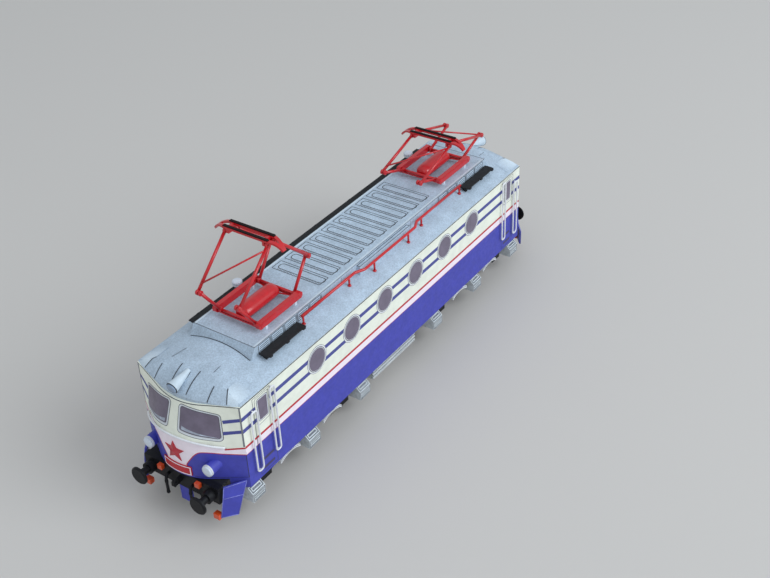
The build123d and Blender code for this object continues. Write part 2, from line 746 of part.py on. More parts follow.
def hook():
    """The draw hook on its square shank."""
    shank = block(beam_face, beam_face + 1.2, -0.5, 0.5, 10.9, 12.1)
    profile = make_face(Polyline([
        (beam_face + 1.0, up(10.9)), (beam_face + 2.8, up(10.5)), (beam_face + 3.3, up(11.2)),
        (beam_face + 3.1, up(12.4)), (beam_face + 2.6, up(12.5)), (beam_face + 2.5, up(11.6)),
        (beam_face + 1.9, up(11.5)), (beam_face + 1.6, up(12.1)), (beam_face + 1.0, up(12.1))], close=True))
    return shank + Pos(0, 0.4, 0) * extrude(Plane.XZ * profile, amount=0.8)


def roof_lamp():
    """The lamp in the middle of the brow, in a fairing that tapers into the roof."""
    axis = Vector(-6.4, 0, 1.3)
    return Plane(origin=(lamp_tip, 0, up(brow_lamp_height)), z_dir=axis) * Cone(
        brow_lamp_radius, 0.6, axis.length, align=(Align.CENTER, Align.CENTER, Align.MIN))


def lamp_lens():
    """The lens on the front of the brow lamp."""
    return Plane(origin=(lamp_tip, 0, up(brow_lamp_height)), z_dir=(6.4, 0, -1.3)) * Cylinder(
        brow_lamp_radius - 0.2, 0.3, align=(Align.CENTER, Align.CENTER, Align.MIN))


def nose_skin(thickness):
    """A layer that lies on the cab front and follows its curve."""
    return cab_block(-thickness) - cab_block(0)


def star():
    """A plain five-pointed star bent to the nose."""
    points = []
    for step in range(10):
        reach = star_reach if step % 2 == 0 else star_reach * 0.4
        turn = radians(90 + 36 * step)
        points.append((reach * cos(turn), up(star_height) + reach * sin(turn)))
    prism = extrude(Plane.YZ * make_face(Polyline(points, close=True)), amount=nose_tip + 5)
    return prism & nose_skin(star_thickness)


def nose_rail():
    """The white rail that sweeps across the nose below the windows: an arc in a plane that leans back."""
    half = half_width - 4.0
    bend = radians(facet_angle(nose_tip, nose_radius))
    depth = nose_radius * (1 - cos(bend)) + (half - nose_radius * sin(bend)) * tan(bend)
    drop = 2.4
    rise = sqrt(depth ** 2 + drop ** 2)
    radius = (half ** 2 + rise ** 2) / (2 * rise)
    tip = Vector(nose_tip + 0.4, 0, up(waist_height + 0.5))
    inward = Vector(-depth, 0, -drop).normalized()
    centre = tip + inward * radius
    pivot = Axis(centre, inward.cross(Vector(0, 1, 0)))
    section = Plane(origin=tip, z_dir=(0, 1, 0)) * RegularPolygon(rail_wire, 6)
    spread = degrees(asin(half / radius))
    left = revolve(section, axis=pivot, revolution_arc=spread)
    return left + revolve(section, axis=pivot, revolution_arc=-spread)


def handrails():
    """Narrow wire loops beside each cab door."""
    for label, side in (("left", 1), ("right", -1)):
        loops = []
        for end in (1, -1):
            for back, half, low, high in ((3.7, 1.1, 14.2, 33.4), (11.1, 0.9, 15.6, 36.3)):
                loops.append(rail_loop(end * (corner_x - back), half, low, high, side))
        save("handrails_" + label, *loops)


def rail_loop(x, half, low, high, side):
    """One loop of wire, as a flat ring with round ends, on two short studs."""
    tall = high - low
    outer = Rectangle(tall + 2 * rail_wire, 2 * half + 2 * rail_wire)
    inner = Rectangle(tall - 2 * rail_wire, 2 * half - 2 * rail_wire)
    ring = chamfer(outer.vertices(), 0.7) - chamfer(inner.vertices(), 0.5)
    middle = Plane(origin=(x, side * (half_width + rail_stand - rail_wire), up((low + high) / 2)),
                   x_dir=(0, 0, 1), z_dir=(0, side, 0))
    loop = extrude(middle * ring, amount=2 * rail_wire)
    for z in (high, low):
        loop += block(x - rail_wire, x + rail_wire, side * half_width, side * (half_width + rail_stand),
                      z - rail_wire, z + rail_wire)
    return loop


def build():
    body_shell()
    roof_box()
    walkways()
    busbar()
    roof_insulators()
    feet_front, cover_front = pantograph("pan_front", pan_front_x, pan_front_angle)
    feet_rear, cover_rear = pantograph("pan_rear", pan_rear_x, pan_rear_angle)
    save("pantograph_feet", *feet_front, *feet_rear)
    save("spring_covers", cover_front, cover_rear)
    bogies()
    underframe()
    ends()
    handrails()


build()
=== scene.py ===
from math import acos, asin, atan2, ceil, cos, hypot, pi, radians, sin, sqrt, tan

import bmesh
import bpy
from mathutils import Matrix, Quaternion, Vector


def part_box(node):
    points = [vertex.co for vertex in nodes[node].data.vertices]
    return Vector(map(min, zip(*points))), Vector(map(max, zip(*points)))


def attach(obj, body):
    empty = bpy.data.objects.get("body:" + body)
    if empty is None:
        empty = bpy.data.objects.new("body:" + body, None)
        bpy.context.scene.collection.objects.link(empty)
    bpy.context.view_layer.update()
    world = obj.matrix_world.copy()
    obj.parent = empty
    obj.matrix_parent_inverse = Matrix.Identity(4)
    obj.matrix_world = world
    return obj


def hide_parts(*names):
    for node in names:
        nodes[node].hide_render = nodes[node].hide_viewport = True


# Looks of a printed-card model of an electric locomotive, 1:87.
# Sizes are in millimetres, and MM turns them into metres. x runs forward, y to the left and z up.
# Heights are written from the rail top, and up() brings them to the floor that the flanges stand on.

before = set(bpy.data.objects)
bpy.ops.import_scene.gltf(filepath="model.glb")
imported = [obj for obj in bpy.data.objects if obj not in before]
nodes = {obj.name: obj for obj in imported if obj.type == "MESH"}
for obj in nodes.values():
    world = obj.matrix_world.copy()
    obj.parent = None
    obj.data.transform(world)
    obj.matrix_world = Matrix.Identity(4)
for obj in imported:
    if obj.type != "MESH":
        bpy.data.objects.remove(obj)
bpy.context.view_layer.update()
mats = {}

MM = 0.001
WAYS = (1, -1)
CORNERS = tuple((end, side) for end in WAYS for side in WAYS)
ENDS = (("front", 1), ("rear", -1))
SIDES = (("left", 1), ("right", -1))
UPWARD = (0, 0, 1)
WHITE = (1, 1, 1)
hair = 0.02
tiny = 1e-9


def span(node, axis):
    """Lowest and highest value of a node along one axis, in millimetres."""
    low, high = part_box(node)
    return low[axis] / MM, high[axis] / MM


# Sizes read from the frame
corner_x = span("side_wall_left", 0)[1]
half_width = span("side_wall_left", 1)[1]
nose_tip = span("cab_end_front", 0)[1]
roof_crown = span("roof", 2)[1]
box_rear, box_front = span("roof_box", 0)
box_half = span("roof_box", 1)[1]
box_top = span("roof_box", 2)[1]
crest_xs = [vert.co.x / MM for vert in nodes["roof_box"].data.vertices if vert.co.z / MM > box_top - hair]
fold_rear, fold_front = min(crest_xs), max(crest_xs)

# The body's curved ends and roof, the same as the construction's
body_bottom = 10.8
lift = span("side_wall_left", 2)[0] - body_bottom
nose_radius = 16.0
waist_height = 26.4
brow_tip = 73.2
brow_radius = 24.9
eave_height = 37.2
roof_radius = 39.93
roof_end_radius = 12.0
roof_end_drop = 4.3
box_end_slope = 2.6
box_foot = 38.6

# Livery: heights of the rows along the sides, and the round windows
pale_band = (21.9, 23.85)
band_edge = 0.14
red_line = (23.85, 24.55)
stripe_rows = ((28.87, 30.07), (32.6, 33.8))
eave_line = (36.88, 37.16)
side_blue_top = 22.3
cab_blue_top = 22.85
window_height = 31.65
window_places = (39.15, 23.5, 7.83, -7.83, -23.5, -39.15)
window_radius = 4.0
# Layers of a round window: name, how much wider it is, its width where it is a ring, and its look
WINDOW_LAYERS = (("window_rims", 0.10, None, "hatch_ink"), ("window_rings", 0.0, None, "white_ink"),
                 ("window_seams", -0.40, 0.18, "hatch_ink"), ("window_panes", -0.74, None, "glass_ink"))

# Cab doors in side view, as at the front end
DOOR_LEAF = ((64.9, 36.5), (58.1, 36.5), (58.1, 11.6), (64.9, 11.6))
DOOR_BORDER = ((64.2, 36.0), (58.7, 36.0), (58.9, 27.6), (64.0, 27.2))
DOOR_PANE = ((63.4, 35.25), (59.4, 35.25), (59.6, 28.45), (63.2, 28.35))
DOOR_STEPS = (((63.3, 16.22), (59.3, 16.22), (59.3, 15.38), (63.3, 15.38)),
              ((63.6, 13.37), (59.3, 13.37), (59.3, 12.53), (63.6, 12.53)))

# Cab ends in front view, one half: y and z of the windows, the gleam's ends and the pale band's foot
WINDOW_FRAME = ((1.35, 35.2), (12.0, 34.0), (12.7, 26.3), (1.7, 28.1))
WINDOW_GLASS = ((1.95, 34.7), (11.6, 33.6), (12.2, 27.1), (2.3, 28.75))
GLEAM_FOOT = ((2.75, 28.9), (11.7, 27.35))
gleam_inner = 2.7
gleam_heights = (0.95, 0.05)
gleam_steps = 12
BAND_FOOT = ((17.0, 21.9), (14.0, 22.1), (11.7, 22.3), (9.8, 22.6), (8.0, 22.75), (6.8, 22.5), (5.6, 21.4),
             (4.6, 20.0), (3.8, 18.8), (3.3, 17.9), (3.3, 17.0))
CORNER_CREASE = (16.62, 24.6, 17.0, 36.9)
NOSE_FOLDS = ((16.86, 14.3, 17.0, 21.8), (5.0, 14.24, 16.9, 14.36))
band_arch = 2.4
crest_step = 0.5
rail_half = half_width - 4.0
facet_stripe_start = 12.5
facet_stripe_heights = (28.7, 32.0)
brow_middle = 35.9
brow_steps = 30

# Print on the roof, one corner or one end: slits, pale corner, scratches with their widths
ROOF_SLITS = (((66.8, 3.0), (72.6, 2.8)), ((68.4, 8.6), (71.7, 8.75)), ((67.1, 11.9), (70.0, 13.6)))
PALE_PATCH = ((66.9, 11.85), (70.0, 13.68), (69.5, 16.4), (62.4, 16.6), (62.4, 11.85))
ROOF_SCRATCHES = (((61.5, -6.5), (66.0, -7.4), 0.14), ((62.6, 5.8), (65.4, 6.0), 0.12))
lamp_edge_places = (68.0, 69.0, 70.0, 71.0, 72.0, 72.8)
box_foot_rows = [-9.9 + 0.9 * k for k in range(23)]
pale_place = (68.4, 14.3, 40.5)
pale_near = 0.6
pale_far = 5.6

# Vents and louvres of the roof box
vent_count = 10
vent_pitch = 5.61
vent_shift = -1.05
VENT_FRAME = (-2.15, -8.9, 2.15, 7.6)
VENT_RIM = (-1.35, -7.8, 1.35, 7.8)
hatch_count = 30
hatch_pitch = 0.5
louvre_count = 5
louvre_pitch = 5.3
louvre_gap = 0.7
joint_places = (-24.5, -16.0, -7.5, 1.0, 9.5, 18.0)
side_panel_out = 1.15
side_panel_inset = 1.6

# Wire rails, red bar, walkways, hoses, lamps and the nose
rail_wire = 0.25
rail_stand = 0.75
rail_rows = ((3.7, 1.1, 14.2, 33.4), (11.1, 0.9, 15.6, 36.3))
nose_rail_rise = 0.5
nose_rail_drop = 2.4
nose_rail_steps = 28
busbar_radius = 0.42
busbar_jogs = (12.5, -15.5)
jog_half = 1.4
post_radius = 0.3
walkway_thickness = 0.4
walkway_edge = 0.9
hose_radius = 0.45
hose_y = 4.2
HOSE_LINE = ((0, 11.2), (1.25, 11.1), (1.5, 9.6), (1.5, 5.3))
hose_collars = (5.25, 8.9)
lamp_y = 10.0
lamp_height = 18.7
lamp_radius = 1.55
brow_lamp_height = 39.4
brow_lamp_radius = 1.65
lamp_tip = 74.2
lamp_run = 6.4
lamp_rise = 1.3
lamp_tail = 0.6
star_height = 21.3
star_reach = 3.3
star_waist = 0.46
star_thickness = 0.3
star_peak = 0.25
plate_half = 4.5
plate_rows = (14.6, 17.4)
plate_thickness = 0.4
# Corners of the black sheet under each nose, which is painted shade for the hollow behind the buffer beam
BEAM_SHADE_CARD = ((corner_x + 1.2, -12.4, 13.3), (nose_tip - 2.5, 12.4, 13.6))
# Ploughs: height, then how far ahead of the corner and inside the width the back and front edges are
PLOUGH_ROWS = ((13.8, 1.0, 0.2, 6.2, 3.4), (10.6, 2.9, 0.2, 7.0, 3.4), (4.6, 4.6, 1.1, 8.0, 4.0))

# Pantographs
pan_base_half = 7.75
pan_lower = 10.6
pan_upper = 17.05
pan_head_half = 1.3
pan_angles = {"pan_front": 55.0, "pan_rear": 21.0}
pan_tube = 0.45
pan_brace = 0.24
pan_shaft = 0.42
pan_pin = 0.34
pan_eye = 0.75
pan_eye_width = 0.7
pan_eye_edge = 0.08
pan_lower_y = 5.9
pan_upper_y = 6.85
pan_shaft_end = 8.0
pan_pin_end = 7.35
pan_axis_height = 2.0
pan_seat_depth = 0.3
brace_inset = 0.1
brace_ends = (2.2, 1.8)
cover_radius = 2.45
cover_height = 2.6
cover_reach = 7.03
cover_drop = 0.5
cover_tuck = 0.6
cover_end = (0.9, 1.0)
cover_stations = 28
cover_sides = 16

# Bogies and battery boxes
wheelbase = 34.4
tread_radius = 7.2
tread_start = 8.3
wheel_width = 2.8
flange_width = 1.1
frame_box_y = 17.0
frame_box_rows = (4.9, 7.7, 9.3)
frame_box_slope = 1.6
frame_box_half = 2.4
end_box_places = (4.0, 8.8)
spring_half = 4.1
spring_low = 8.0
spring_rise = 1.2
leaf_line_rise = 0.46
leaf_line_shares = (-0.96, -0.7, -0.4, 0, 0.4, 0.7, 0.96)
battery_rows = (7.0, 10.8)
battery_end_rows = (7.3, 13.6)
rib_low = 7.3
rib_pitch = 1.2
rib_height = 0.55
rib_count = 3
rib_depth = 0.35

# How far one layer of print stands on the card, and how finely print is cut where the card bends
ink = 0.02
step_fine = 0.6

# Colours as they show in even white light, linear
VIOLET_BLUE = (0.055, 0.060, 0.42)
CREAM = (0.87, 0.885, 0.775)
ROOF_GREY = (0.465, 0.56, 0.67)
PALE_ROOF = (0.80, 0.90, 0.98, 1)


def up(height):
    """A height above the rail top as a height above the floor."""
    return height + lift


def lerp(a, b, share):
    return a + (b - a) * share


def flipped(points, u_way, v_way=1):
    """Points of one corner or half, mirrored to another."""
    return [(u_way * u, v_way * v) for u, v in points]


# Camera, floor and light

camera_place = Vector((216.2, 168.0, 216.15)) * MM
camera_aim = Vector((-5.24, 7.76, 25.0)) * MM
camera_roll = -2.73
camera_lens = 53.09
camera_sensor = 36.0
camera_near = 0.01
floor_size = 6.0
floor_colour = (0.64, 0.60, 0.57)
light_tint = (0.86, 0.94, 1.0)
sky_strength = 0.60
lamp_size = 0.9
lamp_aim = Vector((0, 0, 0.03))
# Lamps: name, place in metres and power
LAMPS = (("window_light", (-0.2, 1.0, 0.75), 9.2), ("fill_light", (0.9, 0.3, 0.8), 1.1))


def aimed_object(name, data, place, aim):
    made = bpy.data.objects.new(name, data)
    bpy.context.scene.collection.objects.link(made)
    made.location = place
    made.rotation_mode = "QUATERNION"
    made.rotation_quaternion = (aim - Vector(place)).to_track_quat("-Z", "Y")
    return made


def make_camera():
    data = bpy.data.cameras.new("camera")
    data.lens = camera_lens
    data.sensor_width = camera_sensor
    data.clip_start = camera_near
    camera = aimed_object("camera", data, camera_place, camera_aim)
    camera.rotation_quaternion = camera.rotation_quaternion @ Quaternion(UPWARD, radians(camera_roll))
    bpy.context.scene.camera = camera


def make_stage():
    """A plain pale floor under soft, faintly blue light."""
    bm = bmesh.new()
    bmesh.ops.create_grid(bm, x_segments=1, y_segments=1, size=floor_size / 2)
    floor = add_object("studio_floor", bm)
    new_material("studio_floor", floor_colour, 0.7)
    floor.data.materials.append(mats["studio_floor"])
    world = bpy.data.worlds.new("studio")
    bpy.context.scene.world = world
    world.use_nodes = True
    sky = world.node_tree.nodes["Background"]
    sky.inputs["Color"].default_value = (*light_tint, 1)
    sky.inputs["Strength"].default_value = sky_strength
    for name, place, power in LAMPS:
        data = bpy.data.lights.new(name, "AREA")
        data.shape = "DISK"
        data.size = lamp_size
        data.energy = power
        data.color = light_tint
        aimed_object(name, data, place, lamp_aim)
    bpy.context.scene.view_settings.view_transform = "Standard"


# Making objects

def add_object(name, bm, smooth=False):
    mesh = bpy.data.meshes.new(name)
    bm.normal_update()
    bm.to_mesh(mesh)
    bm.free()
    if smooth:
        for polygon in mesh.polygons:
            polygon.use_smooth = len(polygon.vertices) <= 4
    made = bpy.data.objects.new(name, mesh)
    bpy.context.scene.collection.objects.link(made)
    return made


def add_piece(name, bm, look, node=None, smooth=True, body="body"):
    """Makes a mesh into a visible piece that rides on a body, and stands for a node where one is given."""
    piece = add_object(name, bm, smooth)
    piece.data.materials.append(mats[look])
    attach(piece, body)
    if node:
        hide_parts(node)


# Flat shapes in two coordinates: loops of points, and pairs of points and faces that are laid on a surface

def disc(u, v, radius, steps=48):
    turns = (2 * pi * k / steps for k in range(steps))
    return [(u + radius * cos(a), v + radius * sin(a)) for a in turns]


def rectangle(u0, v0, u1, v1):
    return [(u0, v0), (u1, v0), (u1, v1), (u0, v1)]


def rounded(corners, radius, steps=5):
    """A closed loop with its corners rounded."""
    loop = []
    for k, corner in enumerate(corners):
        here = Vector(corner)
        before = (Vector(corners[k - 1]) - here).normalized()
        after = (Vector(corners[(k + 1) % len(corners)]) - here).normalized()
        half = before.angle(after) / 2
        reach = radius / tan(half)
        centre = here + (before + after).normalized() * (radius / sin(half))
        start = here + before * reach - centre
        turn = start.angle_signed(here + after * reach - centre)
        for n in range(steps + 1):
            a = -turn * n / steps
            loop.append((centre.x + start.x * cos(a) - start.y * sin(a),
                         centre.y + start.x * sin(a) + start.y * cos(a)))
    return loop


def inset(loop, amount, mitre_limit=0.35):
    """The loop moved inwards by an amount, along the mitre at each point."""
    count = len(loop)
    area = sum(loop[k - 1][0] * loop[k][1] - loop[k][0] * loop[k - 1][1] for k in range(count))
    way = 1 if area > 0 else -1
    moved = []
    for k in range(count):
        a, b, c = (Vector(loop[(k + n) % count]) for n in (-1, 0, 1))
        first = (b - a).normalized() if (b - a).length > tiny else (c - b).normalized()
        second = (c - b).normalized() if (c - b).length > tiny else first
        normal = Vector((-first.y, first.x))
        middle = normal + Vector((-second.y, second.x))
        middle = middle / max(middle.dot(normal), mitre_limit)
        moved.append((b.x + way * amount * middle.x, b.y + way * amount * middle.y))
    return moved


def filled(loop):
    return loop, [tuple(range(len(loop)))]


def ring(loop, width):
    """A band of the given width inside a loop."""
    count = len(loop)
    faces = [(k, (k + 1) % count, count + (k + 1) % count, count + k) for k in range(count)]
    return loop + inset(loop, width), faces


def line(points, width):
    """A printed line of constant width through open points."""
    left, right = [], []
    count = len(points)
    for k, (u, v) in enumerate(points):
        along = (Vector(points[min(k + 1, count - 1)]) - Vector(points[max(k - 1, 0)])).normalized()
        side = Vector((-along.y, along.x)) * width / 2
        left.append((u + side.x, v + side.y))
        right.append((u - side.x, v - side.y))
    faces = [(k, k + 1, count + k + 1, count + k) for k in range(count - 1)]
    return left + right, faces


def lay(name, shapes, surface, look, layer=1, step=None, body="body"):
    """Lays flat shapes on a surface as one thin printed piece. A step cuts them so that they bend with it."""
    bm = bmesh.new()
    for points, faces in shapes:
        made = [bm.verts.new((u, v, 0)) for u, v in points]
        for face in faces:
            bm.faces.new([made[k] for k in face])
    bmesh.ops.triangulate(bm, faces=bm.faces)
    if step:
        cut_along(bm, 0, step)
        cut_along(bm, 1, step)
    for vert in bm.verts:
        vert.co = Vector(surface(vert.co.x, vert.co.y, layer * ink)) * MM
    middle = [sum(row) / len(row) for row in zip(*(point for points, _ in shapes for point in points))]
    outward = Vector(surface(*middle, 1.0)) - Vector(surface(*middle, 0.0))
    bm.normal_update()
    facing = sum((face.normal * face.calc_area() for face in bm.faces), Vector((0, 0, 0)))
    if facing.dot(outward) < 0:
        bmesh.ops.reverse_faces(bm, faces=bm.faces)
    add_piece(name, bm, look, smooth=False, body=body)


def printer(surface, label="", step=None, body="body"):
    """A function that lays print on one surface, in pieces whose names end in the label."""
    def put(name, shapes, look, layer=1, step=step):
        lay(name + label, shapes, surface, look, layer, step, body)
    return put


def cut_along(bm, axis, step):
    """Cuts a flat mesh by lines at even steps of one coordinate."""
    values = [vert.co[axis] for vert in bm.verts]
    normal = [0, 0, 0]
    normal[axis] = 1
    for k in range(ceil(min(values) / step), int(max(values) // step) + 1):
        place = [k * step * way for way in normal]
        geometry = list(bm.verts) + list(bm.edges) + list(bm.faces)
        bmesh.ops.bisect_plane(bm, geom=geometry, dist=1e-6, plane_co=place, plane_no=normal)


# Surfaces that print is laid on: each takes two coordinates and a distance out from the card

def upright(side, distance, base=lift):
    """A plane along the body: x forward, z up from the rail, or from the floor where the base is 0."""
    return lambda x, z, out: (x, side * (distance + out), z + base)


def level(height):
    return lambda x, y, out: (x, y, height + out)


def facet_turn(tip, radius):
    """The angle of a facet that leaves its arc tangent to it and ends at the body's corner."""
    reach = corner_x - tip + radius
    return asin(radius / hypot(half_width, reach)) - atan2(reach, half_width)


LOW = (nose_tip, nose_radius, facet_turn(nose_tip, nose_radius))
HIGH = (brow_tip, brow_radius, facet_turn(brow_tip, brow_radius))


def arc_point(form, share):
    tip, radius, turn = form
    return tip - radius * (1 - cos(share * turn)), radius * sin(share * turn)


def cab_x(y, z, halvings=24):
    """How far forward an end's surface reaches at a point of its front view."""
    share = min(max((z - waist_height) / (eave_height - waist_height), 0.0), 1.0)
    y = abs(y)
    fold_x, fold_y = (lerp(a, b, share) for a, b in zip(arc_point(LOW, 1.0), arc_point(HIGH, 1.0)))
    if y >= fold_y:
        return lerp(fold_x, corner_x, (y - fold_y) / (half_width - fold_y))
    low, high = 0.0, 1.0
    for _ in range(halvings):
        middle = (low + high) / 2
        if lerp(arc_point(LOW, middle)[1], arc_point(HIGH, middle)[1], share) < y:
            low = middle
        else:
            high = middle
    return lerp(arc_point(LOW, low)[0], arc_point(HIGH, low)[0], share)


def cab_surface(end, stand=0.0):
    """An end seen from its front: y to the viewer's right at the front end, z up from the rail."""
    return lambda y, z, out: (end * (cab_x(y, z) + stand + out), end * y, up(z))


def roof_z(x, y):
    """The roof's height at a place in plan: the long arch, and the swept ends."""
    vault = roof_crown - roof_radius + sqrt(roof_radius ** 2 - y ** 2)
    tip, radius, turn = HIGH
    ahead = abs(x) - (tip - radius)
    if abs(y) <= ahead * tan(turn):
        reach = hypot(ahead, y)
    else:
        reach = ahead * cos(turn) + abs(y) * sin(turn)
    run = sqrt(roof_end_radius ** 2 - (roof_end_radius - roof_end_drop) ** 2)
    past = min(max(reach - (radius - run), 0.0), roof_end_radius)
    dome = roof_crown - roof_end_radius + sqrt(roof_end_radius ** 2 - past ** 2)
    return min(vault, dome)


def roof_surface(x, y, out):
    return x, y, roof_z(x, y) + out


def box_slope_x(end, y, rounds=12):
    """Where the sloping end of the roof box meets the roof."""
    fold = fold_rear if end < 0 else fold_front
    x = fold
    for _ in range(rounds):
        x = fold + end * box_end_slope * (box_top - roof_z(x, y)) / (box_top - up(box_foot))
    return x


def lamp_edge(x, rounds=8, least=0.04, gap=0.08):
    """How far from the centre line the brow lamp's fairing meets the roof."""
    share = (lamp_tip - x) / lamp_run
    radius = lerp(brow_lamp_radius, lamp_tail, share)
    axis_z = up(brow_lamp_height) + lamp_rise * share
    y = radius
    for _ in range(rounds):
        y = sqrt(max(radius ** 2 - (axis_z - roof_z(x, y)) ** 2, least))
    return y + gap


# Round bars, turned forms and blocks

def bent(points, radius, steps=6, closed=False):
    """A path whose bends are rounded to about one radius."""
    path = []
    count = len(points)
    for k in range(count):
        here = Vector(points[k])
        if not closed and k in (0, count - 1):
            path.append(here)
            continue
        back = Vector(points[k - 1]) - here
        ahead = Vector(points[(k + 1) % count]) - here
        reach = min(radius / tan(back.angle(ahead) / 2), back.length * 0.45, ahead.length * 0.45)
        start = here + back.normalized() * reach
        stop = here + ahead.normalized() * reach
        for n in range(steps + 1):
            share = n / steps
            path.append(start * (1 - share) ** 2 + here * 2 * share * (1 - share) + stop * share ** 2)
    return path


def round_of(centre, across, other, radius, count):
    turns = (2 * pi * n / count for n in range(count))
    return [centre + (across * cos(a) + other * sin(a)) * radius for a in turns]


def skin(bm, rings, closed=False):
    """Joins rings of points, some of which may be a single point, and closes the ends of an open form."""
    count = max(len(points) for points in rings)
    pairs = list(zip(rings, rings[1:]))
    if closed:
        pairs.append((rings[-1], rings[0]))
    for low, high in pairs:
        for n in range(count):
            after = (n + 1) % count
            face = [low[n % len(low)], low[after % len(low)], high[after % len(high)], high[n % len(high)]]
            bm.faces.new([vert for k, vert in enumerate(face) if vert not in face[:k]])
    for cap in (rings[0][::-1], rings[-1]):
        if len(cap) > 1 and not closed:
            bm.faces.new(cap)


def tube(bm, path, radius, sides=14, closed=False):
    """A round bar along a path, its ends closed."""
    places = [Vector(p) * MM for p in path]
    count = len(places)
    rings = []
    across = None
    for k in range(count):
        before = places[k - 1] if closed or k > 0 else places[k]
        after = places[(k + 1) % count] if closed or k < count - 1 else places[k]
        ahead = (after - before).normalized()
        if across is None:
            across = ahead.orthogonal().normalized()
        across = (across - ahead * across.dot(ahead)).normalized()
        points = round_of(places[k], across, ahead.cross(across), radius * MM, sides)
        rings.append([bm.verts.new(point) for point in points])
    skin(bm, rings, closed)


def spun(bm, origin, axis, profile, steps=28):
    """A turned form: the profile's pairs are the distance along the axis and the radius."""
    axis = Vector(axis).normalized()
    across = axis.orthogonal().normalized()
    other = axis.cross(across)
    rings = []
    for along, radius in profile:
        centre = (Vector(origin) + axis * along) * MM
        points = round_of(centre, across, other, radius * MM, steps) if radius > tiny else [centre]
        rings.append([bm.verts.new(point) for point in points])
    skin(bm, rings)


def block(bm, low, high, worn=0.05):
    """A box between two corners, its edges a little worn."""
    low, high = Vector(low), Vector(high)
    made = bmesh.ops.create_cube(bm, size=1.0)["verts"]
    bmesh.ops.scale(bm, vec=(high - low) * MM, verts=made)
    bmesh.ops.translate(bm, vec=(high + low) / 2 * MM, verts=made)
    edges = {edge for vert in made for edge in vert.link_edges}
    bmesh.ops.bevel(bm, geom=list(edges), offset=worn * MM, segments=1, affect="EDGES")


# Materials

def new_material(name, colour, rough, metal=0.0, coat=0.0, specular=0.5):
    material = bpy.data.materials.new(name)
    material.use_nodes = True
    shader = material.node_tree.nodes["Principled BSDF"]
    shader.inputs["Base Color"].default_value = (*colour, 1)
    shader.inputs["Roughness"].default_value = rough
    shader.inputs["Metallic"].default_value = metal
    shader.inputs["Coat Weight"].default_value = coat
    shader.inputs["Specular IOR Level"].default_value = specular
    mats[name] = material
    return material.node_tree


def feed(tree, socket, source):
    tree.links.new(source, tree.nodes["Principled BSDF"].inputs[socket])


def node_of(tree, kind, **values):
    made = tree.nodes.new(kind)
    for key, value in values.items():
        if hasattr(made, key):
            setattr(made, key, value)
        else:
            made.inputs[key.replace("_", " ").title()].default_value = value
    return made


def object_place(tree):
    return tree.nodes.new("ShaderNodeTexCoord").outputs["Object"]


def noise_of(tree, size, detail=3.0, roughness=0.55):
    """Noise with features of about the given size, fixed to the piece."""
    noise = node_of(tree, "ShaderNodeTexNoise", scale=1 / (size * MM), detail=detail, roughness=roughness)
    tree.links.new(object_place(tree), noise.inputs["Vector"])
    return noise.outputs["Fac"]


def ramp(tree, source, colour, *stops):
    """A colour that grows with the source. Each stop is a position and a factor of the colour."""
    made = tree.nodes.new("ShaderNodeValToRGB")
    marks = made.color_ramp.elements
    for mark, (position, factor) in ((marks[0], stops[0]), (marks[1], stops[-1])):
        mark.position = position
        mark.color = (*scaled(colour, factor), 1)
    for position, factor in stops[1:-1]:
        marks.new(position).color = (*scaled(colour, factor), 1)
    tree.links.new(source, made.inputs["Fac"])
    return made.outputs["Color"]


def mixed(tree, factor, low, high, blend="MIX"):
    """A mix of two colours. Each of the three is another node's output, or a plain value."""
    made = node_of(tree, "ShaderNodeMix", data_type="RGBA", blend_type=blend)
    for socket, value in ((0, factor), (6, low), (7, high)):
        if isinstance(value, bpy.types.NodeSocket):
            tree.links.new(value, made.inputs[socket])
        else:
            made.inputs[socket].default_value = value
    return made.outputs[2]


def bump(tree, source, strength, distance):
    made = node_of(tree, "ShaderNodeBump", strength=strength, distance=distance * MM)
    tree.links.new(source, made.inputs["Height"])
    feed(tree, "Normal", made.outputs["Normal"])


def scaled(colour, factor):
    return tuple(part * factor for part in colour)


def patchy(tree, colour, spread, patch):
    """Ink that varies in soft patches."""
    return ramp(tree, noise_of(tree, patch, 4.0, 0.6), colour, (0.35, 1 - spread), (0.65, 1 + spread))


def sheen(tree, source, rough, less, more):
    """A roughness that wavers about its value."""
    feed(tree, "Roughness", ramp(tree, source, WHITE, (0.3, rough - less), (0.7, rough + more)))


def sheet(name, colour, rough=0.52):
    """Paper or card without its print: a faint uneven sheen, and fine grain."""
    tree = new_material(name, colour, rough)
    sheen(tree, noise_of(tree, 0.9, 2.0), rough, 0.07, 0.09)
    bump(tree, noise_of(tree, 0.16), 0.5, 0.012)
    return tree


def card(name, colour, spread=0.08, patch=2.2, rough=0.52):
    tree = sheet(name, colour, rough)
    feed(tree, "Base Color", patchy(tree, colour, spread, patch))


def banded_card(name, edge):
    """The body's card, printed blue up to the pale band's foot and cream above it."""
    tree = sheet(name, VIOLET_BLUE)
    cream = ramp(tree, noise_of(tree, 3.0, 4.0), CREAM, (0.35, 0.95), (0.65, 1.04))
    parts = tree.nodes.new("ShaderNodeSeparateXYZ")
    tree.links.new(object_place(tree), parts.inputs["Vector"])
    above = node_of(tree, "ShaderNodeMath", operation="GREATER_THAN")
    above.inputs[1].default_value = up(edge) * MM
    tree.links.new(parts.outputs["Z"], above.inputs[0])
    blue = patchy(tree, VIOLET_BLUE, 0.08, 2.2)
    feed(tree, "Base Color", mixed(tree, above.outputs["Value"], blue, cream))


def roof_print(tree):
    """Pale grey-blue with watery clouds and white speckle."""
    clouds = ramp(tree, noise_of(tree, 4.5, 5.0, 0.68), ROOF_GREY, (0.30, 0.88), (0.50, 1.0), (0.74, 1.16))
    grain = ramp(tree, noise_of(tree, 0.42, 3.0, 0.7), WHITE, (0.32, 0.80), (0.5, 0.98), (0.68, 1.15))
    return mixed(tree, 1.0, clouds, grain, "MULTIPLY")


